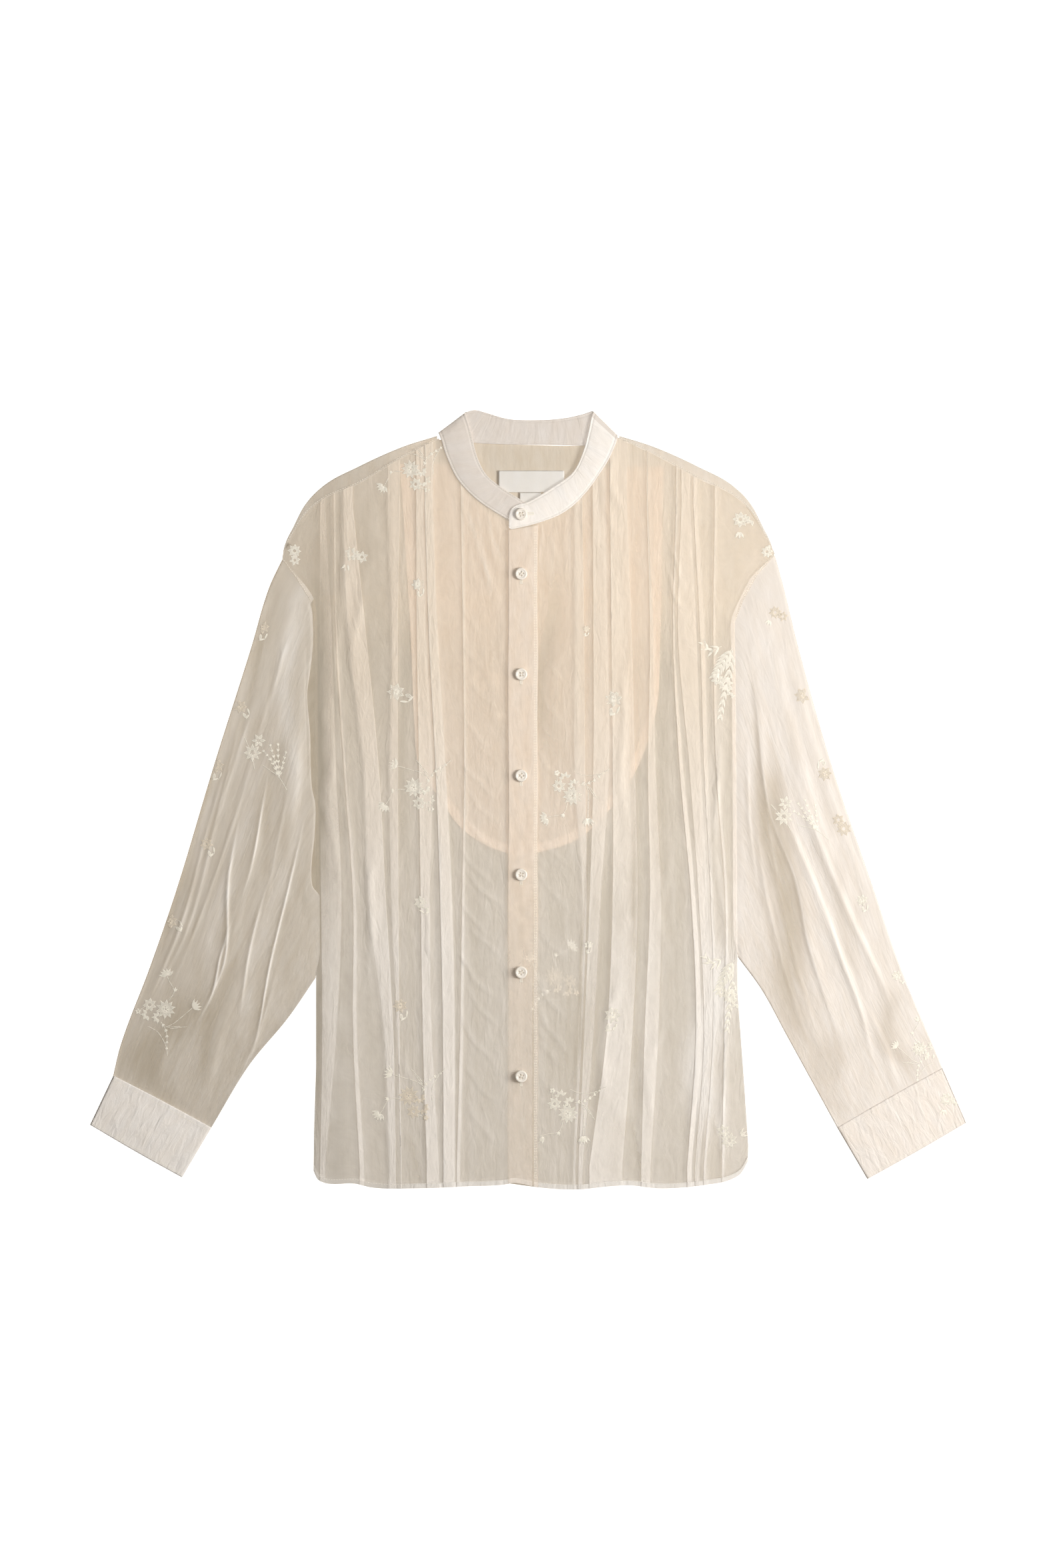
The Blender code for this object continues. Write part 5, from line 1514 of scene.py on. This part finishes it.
def feather(points, count, length, width, spread):
    """Pairs of leaves along a stem, shorter towards its tip."""
    leaves = []
    for k in range(count):
        share = (k + 0.5) / count
        here, ahead = along(points, share), along(points, min(1.0, share + 0.05))
        back = along(points, share - 0.05)
        way = math.degrees(math.atan2(*(ahead - back)[::-1]))
        size = length * (1 - 0.45 * share)
        leaves.append(Petal(here[0], here[1], way + spread, size, width))
        leaves.append(Petal(here[0], here[1], way - spread, size * 0.9, width))
    return leaves


SPRAY_STEMS = (
    ((4, 15), (14, 11), (29, 12.4), (39, 17.5)),
    ((8.5, 2), (19.5, 4), (34.5, 15)),
    ((19.5, -0.6), (24, -8), (28, -15)),
    ((17, 0.6), (20.5, -5), (24, -10)),
    ((15, 3), (17.5, -4.5), (17.5, -18), (17, -30.5)),
    ((-2.6, -16), (-6.5, -26), (-19, -29), (-26, -31)),
    ((-12.5, 5), (-13, 11.5)),
)
SPRAY_HEADS = (
    rosette(-11, 0.6, 7, 7, 3.6, 20) + rosette(2, -9, 10, 10, 3.8, 8)
    + rosette(-5, 8.5, 4, 6.5, 3, 30, 200) + rosette(-13, 13.5, 5, 3, 2.2)
    + rosette(3.5, 2, 5, 6, 2.8, 40, 220) + rosette(2, -9, 5, 3.4, 1.8, 30)
)
SPRAY_LEAVES = (
    rosette(17, -30, 5, 9.5, 2.3, 232, 110, 0.1) + rosette(-22, -30, 6, 8.5, 2.8, 138, 150, 0.15)
    + feather(SPRAY_STEMS[1], 5, 3.6, 1.3, 35) + rosette(-6.5, -26, 2, 4.5, 1.8, 240, 60, 0.1)
)
FAN_STEMS = (
    ((0, 0), (-8, -12), (-17, -27)),
    ((0, -2), (-4, -28), (-9, -50), (-12, -68)),
    ((3, 4), (5.5, -20), (5, -40), (0, -50)),
    ((-10, 2), (-22, -2), (-29, 6)),
)
FAN_HEADS = (
    rosette(-7, -34, 8, 8, 3.6) + rosette(-15, -30, 6, 6.5, 3.2, 20)
    + rosette(-1, -42, 6, 6, 3, 40)
)
FAN_LEAVES = (
    feather(FAN_STEMS[0], 6, 17, 2.6, 26) + feather(FAN_STEMS[1], 9, 13, 2.4, 22)
    + feather(FAN_STEMS[2], 6, 9, 2, 24) + feather(FAN_STEMS[3], 4, 11, 2, 34)
)
BROOM_STEMS = (
    ((0, 0), (-6, 14), (-16, 27)), ((0, 0), (-4, 16), (-9, 33)),
    ((0, 0), (-1, 18), (-1, 34)), ((0, 0), (4, 14), (7, 26)),
    ((8, -13), (0, 0), (-16, 12)), ((-34, 40), (-26, 20), (-24, 8)),
)
BROOM_HEADS = rosette(-26, 24, 8, 9, 3.6) + rosette(-20, 36, 6, 7, 3.2)
BROOM_LEAVES = (
    feather(BROOM_STEMS[0], 6, 4.6, 0.9, 26) + feather(BROOM_STEMS[1], 6, 4.6, 0.9, 26)
    + feather(BROOM_STEMS[2], 6, 4.6, 0.9, 26) + feather(BROOM_STEMS[3], 5, 4.2, 0.9, 26)
)
BLOSSOM_HEADS = rosette(0, 1.5, 7, 7.4, 4, 10) + rosette(0, 1.5, 4, 3, 2, 40)
BLOSSOM_LEAVES = (
    Petal(-2, -6, 262, 7.5, 3.4), Petal(5, -5, 245, 8, 1.6), Petal(1.5, -11, 196, 6, 1.8),
)
MOTIFS = {
    "spray": (SPRAY_HEADS, SPRAY_LEAVES, SPRAY_STEMS),
    "fan": (FAN_HEADS, FAN_LEAVES, FAN_STEMS),
    "broom": (BROOM_HEADS, BROOM_LEAVES, BROOM_STEMS),
    "blossom": (BLOSSOM_HEADS, BLOSSOM_LEAVES, ()),
    "cluster": (rosette(0, 0, 8, 8.5, 4.4) + rosette(9, -7, 6, 7, 3.8),
                rosette(-8, -8, 3, 9, 2.4, 200, 90), ()),
}

Sprig = namedtuple("Sprig", "surface motif x y size turn mirror shaded")
SPRIGS = records(Sprig, (
    ("front_left", "spray", -107, 318, 0.95, -108, -1, False),
    ("front_left", "spray", -103.6, 7.6, 1, -108, -1, False),
    ("front_left", "spray", -108.8, -293.3, 1, -108, -1, True),
    ("front_right", "spray", 41, 13, 1, 0, 1, False),
    ("front_right", "spray", 36.7, -297, 1, 0, 1, False),
    ("front_right", "fan", 199, 148, 1, 0, 1, False),
    ("front_right", "fan", 201, -156, 1, 4, 1, False),
    ("sleeve_left", "broom", -243, 22, 1, 0, 1, False),
    ("sleeve_left", "spray", -362, -208, 1, 128, -1, False),
    ("sleeve_right", "broom", 282, -30, 1, 20, 1, False),
    ("sleeve_right", "spray", 388, -246, 0.8, 230, 1, False),
    ("front_left", "blossom", -107.5, 209, 0.85, 20, 1, False),
    ("front_left", "blossom", -127.5, 104.5, 1.2, 60, -1, False),
    ("front_left", "blossom", -104.5, -101, 0.9, 30, -1, False),
    ("front_left", "blossom", -124.5, -202, 1, 20, 1, True),
    ("front_left", "cluster", -172, 240, 0.9, 20, 1, False),
    ("front_left", "cluster", -228, 243, 0.8, -50, 1, False),
    ("front_right", "blossom", 83.5, 97, 1.15, 0, 1, False),
    ("front_right", "blossom", 59, -142, 0.6, 0, 1, False),
    ("front_right", "blossom", 82, -211.5, 1.15, -10, 1, False),
    ("front_right", "cluster", 196, -332, 0.95, 160, 1, False),
    ("front_right", "cluster", 207, 273.5, 0.95, 40, 1, False),
    ("front_right", "blossom", 56.8, 166, 0.5, 0, 1, True),
    ("front_right", "cluster", 233, 242, 0.7, 100, 1, False),
    ("sleeve_left", "blossom", -304, 32, 1, 0, 1, True),
    ("sleeve_left", "blossom", -313, -44, 0.9, 30, 1, True),
    ("sleeve_left", "blossom", -348, -119, 1, 60, 1, True),
    ("sleeve_left", "blossom", -259, 167, 0.9, 0, 1, True),
    ("sleeve_left", "blossom", -280, 90, 0.9, 40, 1, True),
    ("sleeve_right", "cluster", 241, 183, 0.75, 10, 1, True),
    ("sleeve_right", "blossom", 269, 101, 1.1, 60, 1, True),
    ("sleeve_right", "blossom", 289, 27, 1, 200, 1, True),
    ("sleeve_right", "cluster", 308, -28, 0.9, 160, 1, True),
    ("sleeve_right", "blossom", 326, -99, 0.8, 20, 1, False),
    ("sleeve_right", "blossom", 360, -172, 0.7, 50, 1, False),
    ("cuff_right", "cluster", 408, -292, 0.8, 30, 1, False),
    ("back", "spray", -40, 120, 1, 60, 1, True),
    ("back", "spray", 30, -180, 1, 200, 1, True),
))


def turned(x, y, sprig):
    """A motif's own places carried to the shirt: mirrored, turned, sized and moved."""
    a = math.radians(sprig.turn)
    x = x * sprig.mirror
    return (sprig.x + sprig.size * (x * math.cos(a) - y * math.sin(a)),
            sprig.y + sprig.size * (x * math.sin(a) + y * math.cos(a)))


def satin_paths(petals, sprig, relief):
    """Satin stitches that fill petals: lanes side by side that swell from the root and meet near the tip."""
    rows = np.array(petals, dtype=float)[:, :, None, None]
    s = np.linspace(0.0, 1.0, 6)[None, None, :]
    lane = np.linspace(-1.0, 1.0, 5)[None, :, None]
    swell = np.sin(math.pi * np.clip(s, 0.0, 0.97) ** 0.9) ** 0.8
    lx = s * rows[:, 3] * (1 - 0.16 * lane ** 2)
    ly = 0.42 * rows[:, 4] * lane * swell
    a = np.radians(rows[:, 2])
    x, y = turned(rows[:, 0] + lx * np.cos(a) - ly * np.sin(a),
                  rows[:, 1] + lx * np.sin(a) + ly * np.cos(a), sprig)
    z = relief.height(x, y) + 0.10 + 0.10 * np.sin(math.pi * s) * (1 - 0.5 * lane ** 2)
    held = relief.covers(x, y).all(axis=(1, 2))
    return np.stack([x, y, z], axis=-1)[held].reshape(-1, 6, 3)


def stem_paths(stems, sprig, relief):
    """Stem stitches along smooth paths."""
    made = []
    for stem in stems:
        path = along(stem, np.linspace(0.0, 1.0, 29))
        x, y = turned(path[:, 0], path[:, 1], sprig)
        lift = 0.16 + 0.05 * np.sin(np.arange(29) * 2.2)
        points = np.column_stack([x, y, relief.height(x, y) + lift])
        pieces = [points[k:k + 8] for k in range(0, 28, 7) if relief.covers(x[k:k + 8], y[k:k + 8]).all()]
        made += [piece[:8] for piece in pieces if len(piece) == 8]
    return np.array(made).reshape(-1, 8, 3)


def tubes(name, groups, sides=4):
    """Flat floss along many paths: rings across each path, drawn in at both ends."""
    points, quads, count = [], [], 0
    angle = np.linspace(0.0, 2 * math.pi, sides, endpoint=False)
    for paths, radius in groups:
        if not len(paths):
            continue
        steps = paths.shape[1]
        run = np.gradient(paths, axis=1)[..., :2]
        run /= np.maximum(np.linalg.norm(run, axis=-1, keepdims=True), 1e-6)
        thick = radius * np.concatenate([[0.35], np.ones(steps - 2), [0.35]])[None, :, None]
        x = paths[..., 0:1] - run[..., 1:2] * np.cos(angle) * thick
        y = paths[..., 1:2] + run[..., 0:1] * np.cos(angle) * thick
        z = paths[..., 2:3] + 0.35 * np.sin(angle) * thick
        ring = np.stack([x, y, z], axis=-1)
        points.append(ring.reshape(-1, 3))
        base = grid_quads(steps, sides, closed=True)
        offset = count + np.arange(len(paths))[:, None, None] * steps * sides
        quads.append((base[None] + offset).reshape(-1, 4))
        count += len(paths) * steps * sides
    points = np.concatenate(points)
    return mesh_from(name, points, np.concatenate(quads), points[:, :2] / UV_UNIT)


class SHIRT_OT_embroidery(ShirtPiece, Operator):
    """Scattered flower sprays and blossoms, stitched in thread of the cloth's own colour"""
    bl_idname = "shirt.embroidery"
    bl_label = "Embroidery"

    def execute(self, context):
        groups = {}
        for sprig in SPRIGS:
            heads, leaves, stems = MOTIFS[sprig.motif]
            relief = SURFACES[sprig.surface]
            light = groups.setdefault((sprig.surface, "thread"), [])
            # Shaded sprigs have their heads in the painted shade thread
            dark = groups.setdefault((sprig.surface, "shaded_thread"), []) if sprig.shaded else light
            dark.append((satin_paths(heads, sprig, relief), 0.29))
            light.append((satin_paths(leaves, sprig, relief), 0.26))
            light.append((stem_paths(stems, sprig, relief), 0.30))
        for (surface, thread), parts in groups.items():
            if not sum(len(paths) for paths, _ in parts):
                continue
            name = f"embroidery_{surface}" if thread == "thread" else f"embroidery_{surface}_shaded"
            link(context, name, tubes(name, parts), "sheer_cloth", thread)
        return {"FINISHED"}


FLOOR_REACH = 4000
CAMERA_PLACE = (-0.0055, 0.0156, 3.614)
CAMERA_LENS = 85.0


class SHIRT_OT_stage(Operator):
    """Pale floor, soft light from the right and the camera straight above"""
    bl_idname = "shirt.stage"
    bl_label = "Stage"

    def execute(self, context):
        scene = context.scene
        spots = np.linspace(-FLOOR_REACH, FLOOR_REACH, 5)
        grid = np.dstack([*np.meshgrid(spots, spots), np.zeros((5, 5))])
        floor = bpy.data.objects.new("floor", grid_mesh("floor", grid, flip=True))
        scene.collection.objects.link(floor)
        floor.data.materials.append(self.floor_material())

        world = bpy.data.worlds.new("studio")
        world.use_nodes = True
        world.node_tree.nodes["Background"].inputs["Color"].default_value = (1.0, 0.92, 0.82, 1.0)
        world.node_tree.nodes["Background"].inputs["Strength"].default_value = 0.13
        scene.world = world

        self.area_light("key", (2.0, 0.05, 1.6), (0.0, 0.0, 0.0), 1.0, 65.0)
        self.area_light("top", (-0.1, 0.3, 1.2), (0.0, 0.0, 0.0), 0.8, 3.9)

        camera = bpy.data.cameras.new("camera")
        camera.lens = CAMERA_LENS
        camera.sensor_width = 36.0
        camera.sensor_fit = "AUTO"
        seen = bpy.data.objects.new("camera", camera)
        seen.location = CAMERA_PLACE
        scene.collection.objects.link(seen)
        scene.camera = seen
        scene.view_settings.view_transform = "Standard"
        scene.cycles.transparent_max_bounces = 32
        return {"FINISHED"}

    def floor_material(self):
        """White to the eye, and plain grey paper where it is seen through the cloth."""
        paper, shader = plain_material("pale_floor")
        tree = paper.node_tree
        put(shader, {"Base Color": (0.43, 0.385, 0.31, 1.0), "Roughness": 0.9,
                     "Emission Color": (1.0, 1.0, 1.0, 1.0)})
        path = node_of(tree, "ShaderNodeLightPath", (-800, 0))
        direct = node_of(tree, "ShaderNodeMath", (-600, 0), operation="LESS_THAN")
        direct.inputs[1].default_value = 0.5
        glow = node_of(tree, "ShaderNodeMath", (-400, 0), operation="MULTIPLY")
        join(path, "Transparent Depth", direct, 0)
        join(direct, "Value", glow, 0)
        join(path, "Is Camera Ray", glow, 1)
        join(glow, "Value", shader, "Emission Strength")
        return paper

    def area_light(self, name, place, aim, size, power):
        light = bpy.data.lights.new(name, "AREA")
        light.energy = power
        light.size = size
        light.color = (1.0, 0.985, 0.96)
        lamp = bpy.data.objects.new(name, light)
        lamp.location = place
        lamp.rotation_euler = (Vector(aim) - Vector(place)).to_track_quat("-Z", "Y").to_euler()
        bpy.context.scene.collection.objects.link(lamp)


class SHIRT_PT_sidebar(Panel):
    """Lists the steps that build the shirt"""
    bl_idname = "SHIRT_PT_sidebar"
    bl_label = "Sheer shirt"
    bl_space_type = "VIEW_3D"
    bl_region_type = "UI"
    bl_category = "Shirt"

    def draw(self, context):
        for operator in STEPS:
            self.layout.operator(operator.bl_idname)
        for group in (context.scene.shirt_sizes, context.scene.shirt_colours):
            for name in group.bl_rna.properties.keys():
                if name not in ("rna_type", "name"):
                    self.layout.prop(group, name)


STEPS = (SHIRT_OT_stage, SHIRT_OT_back, SHIRT_OT_lining, SHIRT_OT_fronts, SHIRT_OT_sleeves, SHIRT_OT_cuffs,
         SHIRT_OT_collar, SHIRT_OT_placket, SHIRT_OT_labels, SHIRT_OT_buttons, SHIRT_OT_stitching,
         SHIRT_OT_embroidery)
CLASSES = (ShirtSizes, ShirtColours) + STEPS + (SHIRT_PT_sidebar,)


def register():
    for cls in CLASSES:
        bpy.utils.register_class(cls)
    bpy.types.Scene.shirt_sizes = PointerProperty(type=ShirtSizes)
    bpy.types.Scene.shirt_colours = PointerProperty(type=ShirtColours)


def unregister():
    del bpy.types.Scene.shirt_colours
    del bpy.types.Scene.shirt_sizes
    for cls in reversed(CLASSES):
        bpy.utils.unregister_class(cls)


def main():
    register()
    bpy.ops.shirt.stage()
    bpy.ops.shirt.back()
    bpy.ops.shirt.lining()
    bpy.ops.shirt.fronts()
    bpy.ops.shirt.sleeves()
    bpy.ops.shirt.cuffs()
    bpy.ops.shirt.collar()
    bpy.ops.shirt.placket()
    bpy.ops.shirt.labels()
    bpy.ops.shirt.buttons()
    bpy.ops.shirt.stitching()
    bpy.ops.shirt.embroidery()


if __name__ == "__main__":
    main()
